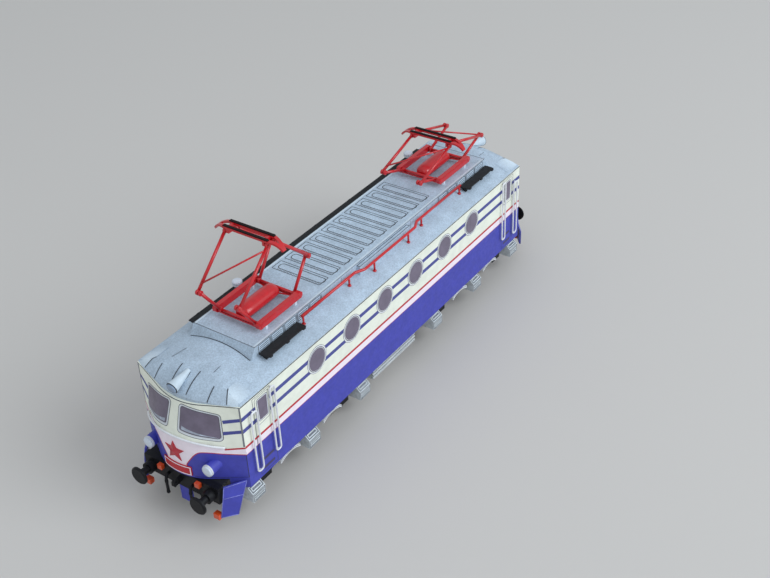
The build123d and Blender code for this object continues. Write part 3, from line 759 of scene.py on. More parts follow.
def roof_cards():
    """The roof's sheet, and the same growing pale towards a place beside each corner slit."""
    tree = sheet("roof_card", ROOF_GREY)
    feed(tree, "Base Color", roof_print(tree))
    tree = sheet("pale_corner", ROOF_GREY)
    folded = node_of(tree, "ShaderNodeVectorMath", operation="ABSOLUTE")
    tree.links.new(object_place(tree), folded.inputs[0])
    away = node_of(tree, "ShaderNodeVectorMath", operation="DISTANCE")
    away.inputs[1].default_value = Vector(pale_place) * MM
    tree.links.new(folded.outputs["Vector"], away.inputs[0])
    fade = node_of(tree, "ShaderNodeMapRange", from_min=pale_near * MM, from_max=pale_far * MM, to_min=0.65,
                   to_max=0.0)
    tree.links.new(away.outputs["Value"], fade.inputs["Value"])
    feed(tree, "Base Color", mixed(tree, fade.outputs["Result"], roof_print(tree), PALE_ROOF))


def enamel(name, colour, rough=0.28):
    """Brushed-on enamel over wire or plastic: glossy, a little uneven."""
    tree = new_material(name, colour, rough, coat=0.25)
    feed(tree, "Base Color", ramp(tree, noise_of(tree, 1.3, 2.0), colour, (0.35, 0.94), (0.7, 1.06)))
    bump(tree, noise_of(tree, 0.5, 2.0), 0.35, 0.02)


def plastic(name, colour, rough=0.5):
    tree = new_material(name, colour, rough, specular=0.22)
    feed(tree, "Base Color", ramp(tree, noise_of(tree, 0.8), colour, (0.3, 0.7), (0.75, 1.4)))
    bump(tree, noise_of(tree, 0.22), 0.4, 0.012)


def steel(name, colour, rough):
    tree = new_material(name, colour, rough, metal=1.0)
    sheen(tree, noise_of(tree, 0.7, 4.0), rough, 0.08, 0.15)
    bump(tree, noise_of(tree, 0.3), 0.3, 0.01)


def make_materials():
    banded_card("body_card", side_blue_top)
    banded_card("cab_card", cab_blue_top)
    roof_cards()
    card("blue_card", VIOLET_BLUE)
    card("stripe_ink", (0.065, 0.075, 0.30))
    card("pale_ink", (0.95, 0.84, 0.92), spread=0.03)
    card("cream_ink", CREAM, spread=0.03)
    card("red_ink", (0.54, 0.022, 0.035))
    card("dark_ink", (0.03, 0.03, 0.04))
    card("hatch_ink", (0.055, 0.06, 0.075))
    card("grey_ink", (0.20, 0.21, 0.24))
    card("white_ink", (0.80, 0.81, 0.84), spread=0.03)
    card("silver_ink", (0.66, 0.68, 0.72), spread=0.05)
    card("gleam_ink", (0.42, 0.46, 0.55), spread=0.25, patch=2.4)
    card("slot_ink", (0.055, 0.045, 0.13))
    card("glass_ink", (0.165, 0.135, 0.19), spread=0.12, patch=3.5, rough=0.35)
    card("frame_card", (0.60, 0.64, 0.67), spread=0.16, patch=1.2)
    card("frame_shade", (0.34, 0.36, 0.42), spread=0.2, patch=1.0)
    card("rib_card", (0.72, 0.75, 0.76))
    # Black card of the walkways, also used as painted shade in the hollow under each nose.
    card("black_card", (0.007, 0.007, 0.009), spread=0.2, rough=0.75)
    card("roof_patch", scaled(ROOF_GREY, 1.28), spread=0.06)
    # Card of the brow lamps' housings, also laid as the painted highlight along the roof box's top edges.
    card("lamp_card", (0.60, 0.69, 0.77), spread=0.06)
    # Grey print of the roof box's side panel, lightened as painted light for the window light falling on the
    # left side.
    card("lit_panel_grey", (0.50, 0.61, 0.73), patch=1.4)
    card("worn_edge", (0.22, 0.23, 0.62), spread=0.2, patch=0.8)
    enamel("white_enamel", (0.80, 0.80, 0.84))
    enamel("red_enamel", (0.58, 0.012, 0.018))
    enamel("star_enamel", (0.50, 0.012, 0.030))
    enamel("orange_enamel", (0.75, 0.085, 0.02))
    enamel("dark_enamel", (0.10, 0.11, 0.16))
    enamel("pot_enamel", (0.68, 0.72, 0.80), rough=0.35)
    enamel("lens_enamel", (0.66, 0.72, 0.82), rough=0.2)
    enamel("brow_lens", (0.27, 0.36, 0.50), rough=0.25)
    plastic("black_plastic", (0.008, 0.008, 0.010))
    plastic("carbon_strip", (0.012, 0.007, 0.007), rough=0.7)
    steel("wheel_steel", (0.09, 0.085, 0.08), rough=0.45)
    steel("tread_steel", (0.55, 0.53, 0.50), rough=0.28)


# Looks of the nodes by the start of their names. The first that fits counts, and the rest are red enamel.
NODE_LOOKS = (
    ("body_card", ("side_wall",)),
    ("cab_card", ("cab_end",)),
    ("pot_enamel", ("roof_insulators", "pantograph_feet")),
    ("lens_enamel", ("headlamp_lenses", "roof_lamp_lenses")),
    ("lamp_card", ("roof_lamps",)),
    ("roof_card", ("roof",)),
    ("orange_enamel", ("hose_cocks", "plough_blocks")),
    ("blue_card", ("headlamps", "ploughs")),
    ("black_plastic", ("floor", "bogie_pivots", "bogie_frame", "buffer", "brake_hoses", "draw_hooks")),
    ("rib_card", ("battery_box",)),
    ("frame_card", ("bogie_boxes",)),
    ("white_ink", ("bogie_springs",)),
    ("black_card", ("walkway",)),
    ("white_enamel", ("handrails", "nose_rails")),
    ("star_enamel", ("nose_stars",)),
    ("red_ink", ("front_plates",)),
    ("wheel_steel", ("wheelset",)),
    ("carbon_strip", ("pan_front_strips", "pan_rear_strips")),
)


def dress_nodes():
    for name, node in nodes.items():
        look = next((look for look, starts in NODE_LOOKS if name.startswith(starts)), "red_enamel")
        node.data.materials.clear()
        node.data.materials.append(mats[look])


# Printed livery on the side walls

def print_side(label, side):
    put = printer(upright(side, half_width), "_" + label)

    def along(low, high):
        return filled(rectangle(-corner_x, low, corner_x, high))

    put("band", [along(*pale_band)], "pale_ink")
    put("band_edge", [along(pale_band[0] - band_edge, pale_band[0])], "red_ink")
    put("red_line", [along(*red_line)], "red_ink")
    put("stripes", [along(*row) for row in stripe_rows], "stripe_ink")
    put("eave_line", [along(*eave_line)], "dark_ink", 2)
    for layer, (name, wider, width, look) in enumerate(WINDOW_LAYERS, 2):
        loops = [disc(x, window_height, window_radius + wider) for x in window_places]
        put(name, [ring(loop, width) if width else filled(loop) for loop in loops], look, layer)
    print_doors(put)


def print_doors(put):
    """The two cab doors of a side: leaf outline, window with its two frames, and step slots."""
    leaves = [flipped(DOOR_LEAF, end) for end in WAYS]
    borders = [rounded(flipped(DOOR_BORDER, end), 0.7) for end in WAYS]
    panes = [rounded(flipped(DOOR_PANE, end), 0.6) for end in WAYS]
    steps = [rounded(flipped(step, end), 0.3) for end in WAYS for step in DOOR_STEPS]
    put("door_outlines", [ring(loop, 0.13) for loop in leaves], "hatch_ink", 2)
    put("door_window_grounds", [filled(loop) for loop in borders], "cream_ink", 2)
    put("door_window_borders", [ring(loop, 0.14) for loop in borders], "grey_ink", 3)
    put("door_window_frames", [filled(inset(loop, -0.16)) for loop in panes], "hatch_ink", 4)
    put("door_window_silver", [filled(inset(loop, -0.06)) for loop in panes], "silver_ink", 5)
    put("door_window_panes", [filled(inset(loop, 0.28)) for loop in panes], "glass_ink", 6)
    put("door_steps", [filled(loop) for loop in steps], "slot_ink", 2)


# Printed livery on the cab ends

def smooth_line(points, steps=4):
    """A soft curve through points."""
    path = []
    for k in range(len(points) - 1):
        a, b, c, d = (Vector(points[min(max(k + n, 0), len(points) - 1)]) for n in (-1, 0, 1, 2))
        for n in range(steps):
            t = n / steps
            path.append(tuple(0.5 * (2 * b + (c - a) * t + (2 * a - 5 * b + 4 * c - d) * t ** 2
                                     + (3 * b - a - 3 * c + d) * t ** 3)))
    return path + [tuple(points[-1])]


def band_crest(y):
    """The pale band's upper edge, which the nose rail follows, and level with the side beyond it."""
    low = waist_height - band_arch
    if abs(y) <= rail_half:
        return waist_height - band_arch * (y / rail_half) ** 2
    return lerp(low, pale_band[1], (abs(y) - rail_half) / (half_width - rail_half))


def print_cab(label, end):
    put = printer(cab_surface(end), "_" + label, step_fine)
    foot = smooth_line(BAND_FOOT)
    other_foot = flipped(foot, -1)
    rows = [-half_width + n * crest_step for n in range(int(2 * half_width / crest_step) + 1)]
    crest = [(y, band_crest(y)) for y in rows]
    put("nose_band", [filled(foot + other_foot[::-1] + crest)], "pale_ink")
    edges = [foot, other_foot, [BAND_FOOT[-1], other_foot[-1]]]
    put("nose_band_edge", [line(edge, 0.24) for edge in edges], "red_ink", 2)
    arch = [(y, z + 0.12) for y, z in crest if abs(y) <= rail_half]
    put("rail_shadow_line", [line(arch, 0.16)], "hatch_ink", 2)
    band_top = pale_band[1]
    red = ((rail_half - 0.4, band_top - 0.15), (half_width, band_top + 0.25))
    bars = [((facet_stripe_start, inner), (half_width, sum(row) / 2))
            for row, inner in zip(stripe_rows, facet_stripe_heights)]
    put("facet_red_line", [line(flipped(red, side), 0.5) for side in WAYS], "red_ink", 2)
    put("facet_stripes", [line(flipped(bar, side), 1.0) for side in WAYS for bar in bars], "stripe_ink")
    creases = [filled(flipped(rectangle(*CORNER_CREASE), side)) for side in WAYS]
    put("corner_creases", creases, "grey_ink", 3, None)
    folds = [filled(flipped(rectangle(*fold), side)) for fold in NOSE_FOLDS for side in WAYS]
    put("nose_folds", folds, "dark_ink")
    dip = (eave_height - brow_middle) / (brow_tip - corner_x)
    rows = [half_width * k / brow_steps for k in range(-brow_steps, brow_steps + 1)]
    brow = [(y, eave_height - dip * (cab_x(y, 36.3) - corner_x) - 0.16) for y in rows]
    put("brow_line", [line(brow, 0.22)], "hatch_ink", 2)
    print_cab_windows(put)
    plate = rectangle(-plate_half + 0.06, plate_rows[0] + 0.06, plate_half - 0.06, plate_rows[1] - 0.06)
    lay("plate_rim_" + label, [ring(plate, 0.3)], cab_surface(end, plate_thickness), "pale_ink",
        step=step_fine)


def print_cab_windows(put):
    frames = [rounded(flipped(WINDOW_FRAME, side), 0.9) for side in WAYS]
    panes = [rounded(flipped(WINDOW_GLASS, side), 0.6) for side in WAYS]
    (inner, inner_z), (outer, outer_z) = GLEAM_FOOT
    shares = [n / gleam_steps for n in range(gleam_steps + 1)]
    foot = [(lerp(inner, outer, t), lerp(inner_z, outer_z, t)) for t in shares]
    head = [(lerp(gleam_inner, outer, t), z + lerp(*gleam_heights, t ** 0.7))
            for t, (_, z) in zip(shares, foot)]
    put("cab_window_outlines", [filled(inset(loop, -0.14)) for loop in frames], "hatch_ink", 2)
    put("cab_window_frames", [filled(loop) for loop in frames], "silver_ink", 3)
    put("cab_window_seams", [filled(inset(loop, -0.12)) for loop in panes], "hatch_ink", 4)
    put("cab_window_panes", [filled(loop) for loop in panes], "glass_ink", 5)
    put("cab_window_gleams", [filled(flipped(foot + head[::-1], side)) for side in WAYS], "gleam_ink", 6)


# Printed roof, and a painted highlight along the roof box's top edges

def print_roof():
    put = printer(roof_surface, step=step_fine)
    slits = []
    for end in WAYS:
        for side in WAYS:
            for start, stop in ROOF_SLITS:
                path = [[lerp(a, b, t) for a, b in zip(start, stop)] for t in (0, 0.5, 1)]
                slits.append(line(flipped(path, end, side), 0.26))
        slits += [line(flipped((start, stop), end), width) for start, stop, width in ROOF_SCRATCHES]
        for side in WAYS:
            edge = [(x, lamp_edge(x)) for x in lamp_edge_places]
            slits.append(line(flipped(edge, end, side), 0.2))
    put("roof_slits", slits, "hatch_ink", 5)
    put("roof_patches", [filled(flipped(PALE_PATCH, *corner)) for corner in CORNERS], "pale_corner", 4)
    edges = [line([(box_slope_x(end, y) + end * 0.16, y) for y in box_foot_rows], 0.24) for end in WAYS]
    put("box_foot_lines", edges, "hatch_ink", 4)
    print_box_top()
    for label, side in SIDES:
        print_box_side(label, side)


def print_box_top():
    put = printer(level(box_top))
    middle = (fold_front + fold_rear) / 2
    vents, hatches = [], []
    for k in range(vent_count):
        x = middle + vent_shift + (k - (vent_count - 1) / 2) * vent_pitch
        for (x0, y0, x1, y1), radius, width in ((VENT_FRAME, 0.35, 0.22), (VENT_RIM, 1.2, 0.26)):
            vents.append(ring(rounded(rectangle(x + x0, y0, x + x1, y1), radius), width))
        for n in range(hatch_count):
            y = -7.2 + hatch_pitch * n
            hatches.append(line([(x + 1.45, y), (x + 1.95, y + 0.22)], 0.17))

    def edge(inner, outer):
        return [filled(rectangle(fold_rear, side * (box_half - inner), fold_front, side * (box_half - outer)))
                for side in WAYS]

    # Pale strips along both long edges of the box top: a painted highlight where the edges catch the light.
    put("box_margins", edge(0.8, 0.16), "lamp_card")
    ends = [filled(rectangle(fold_front - 0.18, -box_half, fold_front, box_half)),
            filled(rectangle(fold_rear, -box_half, fold_rear + 0.18, box_half))]
    put("box_edges", ends + edge(0.16, 0), "hatch_ink")
    put("vent_outlines", vents, "hatch_ink")
    put("vent_hatching", hatches, "grey_ink")


def print_box_side(label, side):
    """Louvre panels towards both ends of the box's upright side, with paired dividers."""
    put = printer(upright(side, box_half, 0), "_" + label)
    panels, slats = [], []
    foot = roof_z(0, box_half) + 0.12
    top = box_top - 0.16
    middle = (box_front + box_rear) / 2
    for end in WAYS:
        start = middle + end * (box_front - box_end_slope - middle - 0.5)
        for k in range(louvre_count):
            a = start - end * k * louvre_pitch
            b = a - end * (louvre_pitch - louvre_gap)
            panels.append(rectangle(min(a, b), foot, max(a, b), top))
            for share in (0.28, 0.50, 0.72):
                z = lerp(foot, top, share)
                slats.append(line([(a - end * 0.5, z), (b + end * 0.5, z)], 0.2))
            post = b - end * louvre_gap / 2
            slats.append(filled(rectangle(post - 0.1, foot, post + 0.1, top)))
    put("louvre_grounds", [filled(panel) for panel in panels], "roof_patch")
    put("louvre_rims", [ring(panel, 0.2) for panel in panels], "hatch_ink", 2)
    put("louvre_slats", slats, "hatch_ink", 2)
    joints = [filled(rectangle(x - 0.06, foot, x + 0.06, top)) for x in joint_places]
    put("box_side_joints", joints, "grey_ink")


def box_side_panel():
    """The wider middle of the roof box's left side, which the red bar kinks round."""
    bm = bmesh.new()
    rear, front = busbar_jogs[1] + side_panel_inset, busbar_jogs[0] - side_panel_inset
    outer = box_half + side_panel_out
    foot = roof_z(0, outer) - 0.1
    top = box_top - 0.5
    block(bm, (rear, box_half - 0.3, foot), (front, outer, top))
    add_piece("box_side_panel", bm, "roof_card", smooth=False)
    face = filled(rectangle(rear + 0.1, foot + 0.1, front - 0.1, top - 0.1))
    # The panel's face: its grey print made lighter, as painted light for the window light on this side.
    lay("side_panel_face", [face], upright(1, outer, 0), "lit_panel_grey")
    rim = ring(rectangle(rear, box_half, front, outer), 0.2)
    lay("side_panel_edge", [rim], level(top), "hatch_ink")


def walkway_edges():
    """Deeper outer edges on the walkways of both sides."""
    bm = bmesh.new()
    (x0, x1), (y0, _), (_, top) = (span("walkway_right", axis) for axis in range(3))
    block(bm, (x0, y0, top - walkway_thickness), (x1, y0 + walkway_edge, top - hair))
    outer, top = span("walkways_left", 1)[1], span("walkways_left", 2)[1]
    low = top - walkway_thickness
    places = [vert.co.x / MM for vert in nodes["walkways_left"].data.vertices]
    for row in ([x for x in places if x > 0], [x for x in places if x < 0]):
        block(bm, (min(row), outer - walkway_edge, low), (max(row), outer - 0.3, top - hair))
    add_piece("walkway_edge", bm, "black_card", smooth=False)


# Printed underframe

def print_frame_boxes(label):
    """Outlines and drawer fronts on the boxes that hang outside each bogie frame."""
    centre = sum(span("bogie_boxes_" + label, 0)) / 2
    body = "bogie_" + label
    bottom, edge, top = frame_box_rows
    near, far = (wheelbase / 2 + place for place in end_box_places)
    run = hypot(frame_box_slope, top - edge)
    tilt = (top - edge) / run
    lean = frame_box_slope / run
    for way, side in SIDES:
        def slope(x, t, out):
            return x, side * (frame_box_y - t * lean + out * tilt), up(edge + t * tilt + out * lean)

        rims, ribs, shades = [], [], []
        for x0, x1 in ((-far, -near), (-frame_box_half, frame_box_half), (near, far)):
            x0, x1 = centre + x0, centre + x1
            lid = rectangle(x0 + 0.3, 0.28, x1 - 0.3, run - 0.25)
            rims += [ring(lid, 0.24), ring(inset(lid, 0.62), 0.2)]
            ribs.append(ring(rectangle(x0 + 0.12, bottom + 0.12, x1 - 0.12, edge - 0.12), 0.2))
            for n in range(3):
                z = bottom + 0.62 + n * 0.72
                ribs.append(line([(x0 + 0.5, z), (x1 - 0.5, z)], 0.24))
            shades.append(filled(rectangle(x0 + 1.2, 1.0, x1 - 1.2, run - 1.0)))
        put = printer(slope, "_%s_%s" % (label, way), body=body)
        put("box_lids", rims, "hatch_ink")
        put("box_shades", shades, "frame_shade")
        put = printer(upright(side, frame_box_y), "_%s_%s" % (label, way), body=body)
        put("box_ribs", ribs, "hatch_ink")
        print_springs(label, way, side, centre)


def print_springs(label, way, side, centre):
    """A thin line between the leaves of each spring."""
    reach = max(abs(y) for y in span("bogie_springs_" + label, 1))
    rear, front = span("bogie_springs_" + label, 0)
    offset = (front - rear) / 2 - spring_half
    lines = []
    for x in (centre - offset, centre + offset):
        lines.append(line([(x + spring_half * t, spring_low + leaf_line_rise + spring_rise * (1 - t ** 2))
                           for t in leaf_line_shares], 0.14))
    lay("spring_lines_%s_%s" % (label, way), lines, upright(side, reach), "hatch_ink",
        body="bogie_" + label)


def print_battery(label, side):
    """Dark gaps between the ribs, a line on each rib, and an outlined panel on each end of the box."""
    x0, x1 = span("battery_box_" + label, 0)
    inner, outer = sorted(abs(y) for y in span("battery_box_" + label, 1))
    skin = outer - rib_depth
    ribs = [rib_low + rib_pitch * k for k in range(rib_count)]
    gap_lows = [battery_rows[0]] + [rib + rib_height for rib in ribs]
    gap_highs = ribs + [battery_rows[1]]
    gaps = [filled(rectangle(x0, low, x1, high)) for low, high in zip(gap_lows, gap_highs)]
    lay("battery_gaps_" + label, gaps, upright(side, skin), "hatch_ink")
    lines = [line([(x0 + 0.2, rib + rib_height / 2), (x1 - 0.2, rib + rib_height / 2)], 0.1) for rib in ribs]
    lay("battery_rib_lines_" + label, lines, upright(side, outer), "hatch_ink")
    panel = rectangle(inner + 0.4, battery_end_rows[0], skin - 0.2, battery_end_rows[1])
    for (name, end), x in zip(ENDS, (x1, x0)):
        def end_face(y, z, out):
            return x + end * out, side * y, up(z)

        lay("battery_end_%s_%s" % (name, label), [ring(panel, 0.14), ring(inset(panel, 0.5), 0.12)], end_face,
            "hatch_ink")


# Wires, bars and lamps

def wire_rails(label, side):
    """The narrow loops beside the cab doors, bent from one wire each."""
    bm = bmesh.new()
    y = side * (half_width + rail_stand)
    for end in WAYS:
        for back, half, low, high in rail_rows:
            x = end * (corner_x - back)
            loop = [(u, y, up(z)) for z, u in rectangle(low, x - half, high, x + half)]
            tube(bm, bent(loop, 1.0, closed=True), rail_wire, closed=True)
            for z in (low, high):
                tube(bm, [(x, side * half_width, up(z)), (x, y, up(z))], rail_wire * 0.9)
    add_piece("wire_rails_" + label, bm, "white_enamel", "handrails_" + label)


def nose_wires():
    """The rail across each nose: an arc in a plane that leans back, its ends let into the facets."""
    bend = LOW[2]
    depth = nose_radius * (1 - cos(bend)) + (rail_half - nose_radius * sin(bend)) * tan(bend)
    rise = hypot(depth, nose_rail_drop)
    radius = (rail_half ** 2 + rise ** 2) / (2 * rise)
    spread = asin(rail_half / radius)
    top = up(waist_height + nose_rail_rise)
    bm = bmesh.new()
    for end in WAYS:
        path = []
        for k in range(-nose_rail_steps, nose_rail_steps + 1):
            a = spread * k / nose_rail_steps
            inward = radius * (1 - cos(a))
            path.append((end * (nose_tip + 0.4 - inward * depth / rise), end * radius * sin(a),
                         top - inward * nose_rail_drop / rise))
        tube(bm, path, rail_wire + 0.03)
    add_piece("nose_wires", bm, "white_enamel", "nose_rails")


def roof_bar():
    """The red conductor and its posts."""
    rear, front = span("busbar", 0)
    low, high = span("busbar", 1)
    z = span("busbar", 2)[1] - busbar_radius * 0.9
    inner = low + busbar_radius
    outer = high - busbar_radius
    jog_front, jog_rear = busbar_jogs
    path = [(rear, inner, z), (jog_rear - jog_half, inner, z), (jog_rear + jog_half, outer, z),
            (jog_front - jog_half, outer, z), (jog_front + jog_half, inner, z), (front, inner, z)]
    bm = bmesh.new()
    tube(bm, bent(path, 1.6), busbar_radius)
    for x, y in ((front - 0.5, inner), (jog_front - 6.0, outer), (jog_rear + 5.0, outer), (rear + 0.5, inner),
                 (jog_front + 4.0, inner), (jog_rear - 4.0, inner)):
        foot = roof_z(x, y)
        tube(bm, [(x, y, foot), (x, y, z)], post_radius)
        spun(bm, (x, y, foot), UPWARD, [(0, 0.55), (0.25, 0.55), (0.4, 0.34)], 16)
    add_piece("roof_bar", bm, "red_enamel", "busbar")


def hoses():
    """The two air hoses of each end, with a collar at the mouth and at the middle."""
    bm = bmesh.new()
    face = nose_tip - 0.5
    collar = [(0, 0.40), (0.06, 0.48), (0.7, 0.48), (0.78, 0.42)]
    for end, side in CORNERS:
        y = side * hose_y
        tube(bm, bent([(end * (face + x), y, up(z)) for x, z in HOSE_LINE], 1.2), hose_radius - 0.03)
        for z in hose_collars:
            spun(bm, (end * (face + HOSE_LINE[-1][0]), y, up(z)), UPWARD, collar, 16)
    add_piece("air_hoses", bm, "black_plastic", "brake_hoses")


def lamp_lenses():
    """Domed pearly lenses in the headlamps and the brow lamps, each in a thin rim."""
    dome = [(0.45 + 0.35 * sin(a), lamp_radius * cos(a)) for a in (0, 0.25, 0.5, 0.75, 1.0, 1.25, 1.42)]
    dome = [(-0.05, lamp_radius - 0.05), *dome, (0.8, 0)]
    rim = [(0, lamp_radius + 0.12), (0.42, lamp_radius + 0.12), (0.5, lamp_radius + 0.02), (0.5, 0)]
    lenses, rims = bmesh.new(), bmesh.new()
    for end, side in CORNERS:
        y, z = side * lamp_y, up(lamp_height)
        spun(lenses, (end * (nose_tip - 0.8), y, z), (end, 0, 0), dome)
        spun(rims, (end * (nose_tip - 1.1), y, z), (end, 0, 0), rim)
    add_piece("pearl_lenses", lenses, "lens_enamel", "headlamp_lenses")
    add_piece("lamp_rims", rims, "silver_ink", smooth=False)
    lenses, rims = bmesh.new(), bmesh.new()
    dome = [(along * 0.7, radius * 0.93) for along, radius in dome]
    rim = [(0, brow_lamp_radius + 0.03), (0.12, brow_lamp_radius + 0.03), (0.16, brow_lamp_radius - 0.12)]
    lens_x = span("roof_lamp_lenses", 0)[1] - 0.62
    lens_z = sum(span("roof_lamp_lenses", 2)) / 2 + 0.03
    for end in WAYS:
        axis = (end * lamp_run, 0, -lamp_rise)
        spun(lenses, (end * lens_x, 0, lens_z), axis, dome)
        spun(rims, (end * (lamp_tip - 0.12), 0, up(brow_lamp_height) + 0.02), axis, rim)
    add_piece("brow_lenses", lenses, "brow_lens", "roof_lamp_lenses")
    add_piece("brow_lamp_rims", rims, "hatch_ink", smooth=False)


def beam_shade_cards():
    """A black sheet behind each buffer beam, which closes the gap under the nose. Its black is painted shade
    for the hollow there.
    """
    bm = bmesh.new()
    (back, right, low), (front, left, high) = BEAM_SHADE_CARD
    for end in WAYS:
        x0, x1 = sorted((end * back, end * front))
        block(bm, (x0, right, up(low)), (x1, left, up(high)))
    add_piece("beam_shade_cards", bm, "black_card", smooth=False)


def plough_edges():
    """Worn pale edges and the fold of each plough plate."""
    bm = bmesh.new()
    for end, side in CORNERS:
        backs = [(end * (corner_x + x), side * (half_width - y), up(z)) for z, x, y, _, _ in PLOUGH_ROWS]
        fronts = [(end * (corner_x + x), side * (half_width - y), up(z)) for z, _, _, x, y in PLOUGH_ROWS]
        for row in (*zip(backs, fronts), fronts):
            tube(bm, row, 0.10, 8)
        tube(bm, backs, 0.08, 8)
    add_piece("plough_edges", bm, "worn_edge")


def nose_star():
    """A bevelled five-pointed star on each nose."""
    bm = bmesh.new()
    for end in WAYS:
        surface = cab_surface(end)

        def corner(y, z, out):
            return bm.verts.new(Vector(surface(y, z, out)) * MM)

        rim = []
        for step in range(10):
            reach = star_reach * (star_waist if step % 2 else 1)
            turn = radians(90 + 36 * step)
            rim.append((reach * cos(turn), star_height + reach * sin(turn)))
        base = [corner(y, z, 0.0) for y, z in rim]
        edge = [corner(y, z, star_thickness * 0.7) for y, z in rim]
        top = corner(0.0, star_height, star_thickness + star_peak)
        bottom = corner(0.0, star_height, 0.0)
        for k in range(10):
            n = (k + 1) % 10
            bm.faces.new((base[k], base[n], edge[n], edge[k]))
            bm.faces.new((edge[k], edge[n], top))
            bm.faces.new((base[n], base[k], bottom))
    bmesh.ops.recalc_face_normals(bm, faces=bm.faces)
    add_piece("bevelled_stars", bm, "star_enamel", "nose_stars", smooth=False)


def roof_pots():
    """White drums on dark stems, beside the pantographs."""
    x0, x1 = span("roof_insulators", 0)
    y0, y1 = span("roof_insulators", 1)
    base, top = span("roof_insulators", 2)
    radius = (y1 - y0) / 2
    tall = top - base
    drum = [(0.42, 0.75), (0.50, radius - 0.12), (0.56, radius), (0.66, radius), (0.69, radius - 0.1),
            (0.72, radius), (0.88, radius), (0.95, radius - 0.14), (1, radius - 0.45), (1, 0)]
    stem = [(0, 0.95), (0.2, 0.95), (0.3, 0.62), (tall * 0.3, 0.62), (tall * 0.34, 0.85), (tall * 0.46, 0.85)]
    drums, stems = bmesh.new(), bmesh.new()
    for x in (x1 - radius, x0 + radius):
        foot = (x, (y0 + y1) / 2, base)
        spun(drums, foot, UPWARD, [(tall * share, reach) for share, reach in drum])
        spun(stems, foot, UPWARD, stem)
    add_piece("pot_drums", drums, "pot_enamel", "roof_insulators")
    add_piece("pot_stems", stems, "dark_enamel")


def wheel_treads():
    """Bright running surfaces and rims, one piece for each wheelset."""
    width = wheel_width - flange_width
    rim = [(0, tread_radius + 0.015), (width, tread_radius + 0.015), (width + hair, tread_radius - 0.05),
           (width + hair, tread_radius - 0.75)]
    for label in ("front_1", "front_2", "rear_1", "rear_2"):
        node = "wheelset_" + label
        x = sum(span(node, 0)) / 2
        z = sum(span(node, 2)) / 2
        bm = bmesh.new()
        for side in WAYS:
            spun(bm, (x, side * tread_start, z), (0, side, 0), rim, 64)
        bmesh.ops.delete(bm, geom=[f for f in bm.faces if len(f.verts) > 4], context="FACES_ONLY")
        add_piece("treads_" + label, bm, "tread_steel", smooth=False, body=node)


# Pantographs

def pan_place(name):
    """The middle of a pantograph along the body, and the height of its two shafts."""
    return sum(span(name + "_base", 0)) / 2, box_top + pan_axis_height


def pan_joints(name, way):
    """The shaft, the knee and the collector's axis of one half, in the pantograph's middle plane."""
    centre, shaft_z = pan_place(name)
    angle = radians(pan_angles[name])
    reach = pan_base_half + pan_lower * cos(angle)
    knee_z = shaft_z + pan_lower * sin(angle)
    head_z = knee_z + pan_upper * sin(acos((reach - pan_head_half) / pan_upper))
    return [Vector((centre + way * x, 0, z))
            for x, z in ((pan_base_half, shaft_z), (reach, knee_z), (pan_head_half, head_z))]


def spring_covers():
    """The long domed cover between each pantograph's beams, lower and narrower at its ends."""
    bm = bmesh.new()
    end_radius, end_height = cover_end
    tuck = asin(cover_tuck / cover_radius)
    for name in pan_angles:
        centre, axis_z = pan_place(name)
        rings = []
        for k in range(cover_stations + 1):
            t = -cos(pi * k / cover_stations)
            swell = max(1 - abs(t) ** 8, 0.0) ** 0.5
            radius = lerp(end_radius, cover_radius, swell)
            height = lerp(end_height, cover_height, swell)
            loop = []
            for n in range(cover_sides + 1):
                a = lerp(-tuck, pi + tuck, n / cover_sides)
                rise = (sin(a) + sin(tuck)) / (1 + sin(tuck)) * height
                place = Vector((centre + t * cover_reach, radius * cos(a), axis_z - cover_drop + rise))
                loop.append(bm.verts.new(place * MM))
            rings.append(loop)
        skin(bm, rings)
    bmesh.ops.recalc_face_normals(bm, faces=bm.faces)
    add_piece("domed_covers", bm, "red_enamel", "spring_covers")


def eye_profile():
    wide = pan_eye_width
    return [(0, pan_eye - pan_eye_edge), (pan_eye_edge, pan_eye), (wide - pan_eye_edge, pan_eye),
            (wide, pan_eye - pan_eye_edge)]


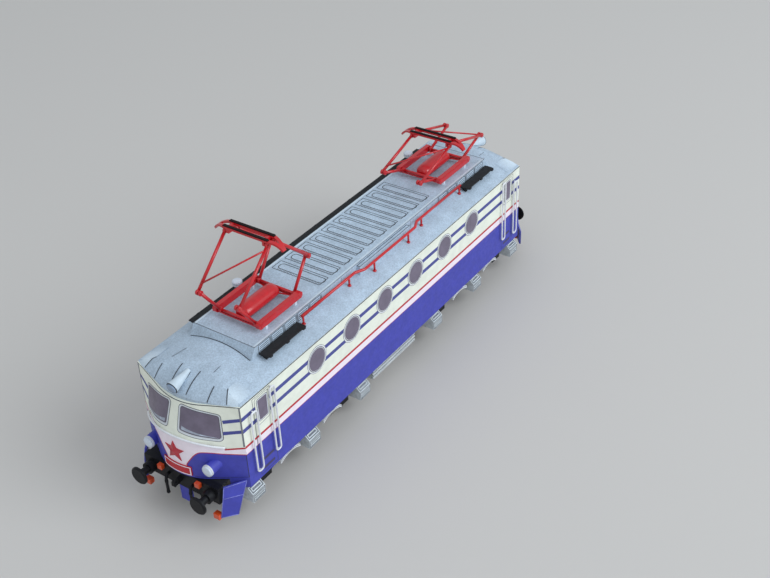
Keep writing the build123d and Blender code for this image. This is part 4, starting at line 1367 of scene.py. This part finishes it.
def lower_tubes(name, label, way):
    """A shaft with its collars and the two lower arms, with an eye and a pin at each knee."""
    root, knee, _ = pan_joints(name, way)
    half = pan_eye_width / 2
    collar = [(-0.45, 0.6), (-0.37, 0.66), (0.37, 0.66), (0.45, 0.6)]
    pin_end = pan_pin_end - pan_lower_y + half
    pin = [(pan_eye_width, pan_pin), (pin_end - pan_eye_edge, pan_pin), (pin_end, pan_pin - pan_eye_edge)]
    bm = bmesh.new()
    tube(bm, [(root.x, -pan_shaft_end, root.z), (root.x, pan_shaft_end, root.z)], pan_shaft)
    for side in WAYS:
        y = side * pan_lower_y
        tube(bm, [(root.x, y, root.z), (knee.x, y, knee.z)], pan_tube)
        spun(bm, (root.x, y, root.z), (0, 1, 0), collar, 20)
        spun(bm, (knee.x, y - side * half, knee.z), (0, side, 0), eye_profile() + pin, 20)
    node = "%s_lower_%s" % (name, label)
    add_piece(node + "_tubes", bm, "red_enamel", node, body=node)


def upper_tubes(name, label, way):
    """The two upper arms, with an eye at each end, and the brace across them."""
    _, knee, top = pan_joints(name, way)
    run = (top - knee).normalized()
    lifted = Vector((-run.z, 0, run.x)) * pan_tube * (1 if run.x > 0 else -1)
    half = pan_eye_width / 2
    bm = bmesh.new()
    for side in WAYS:
        y = side * pan_upper_y
        start, stop = knee + run * pan_seat_depth, top - run * pan_seat_depth
        tube(bm, [(start.x, y, start.z), (stop.x, y, stop.z)], pan_tube)
        for place in (knee, top):
            spun(bm, (place.x, y - side * half, place.z), (0, side, 0), eye_profile(), 20)
    start = knee + run * brace_ends[0] + lifted
    stop = top - run * brace_ends[1] + lifted
    y = way * (pan_upper_y - brace_inset)
    tube(bm, [(start.x, -y, start.z), (stop.x, y, stop.z)], pan_brace)
    node = "%s_upper_%s" % (name, label)
    add_piece(node + "_tubes", bm, "red_enamel", node, body=node)


def main():
    make_camera()
    make_stage()
    make_materials()
    dress_nodes()
    for label, side in SIDES:
        print_side(label, side)
        wire_rails(label, side)
        print_battery(label, side)
    for label, end in ENDS:
        print_cab(label, end)
        print_frame_boxes(label)
    print_roof()
    box_side_panel()
    walkway_edges()
    nose_wires()
    roof_bar()
    hoses()
    lamp_lenses()
    beam_shade_cards()
    plough_edges()
    nose_star()
    roof_pots()
    wheel_treads()
    for name in pan_angles:
        for label, way in ENDS:
            lower_tubes(name, label, way)
            upper_tubes(name, label, way)
    spring_covers()


main()
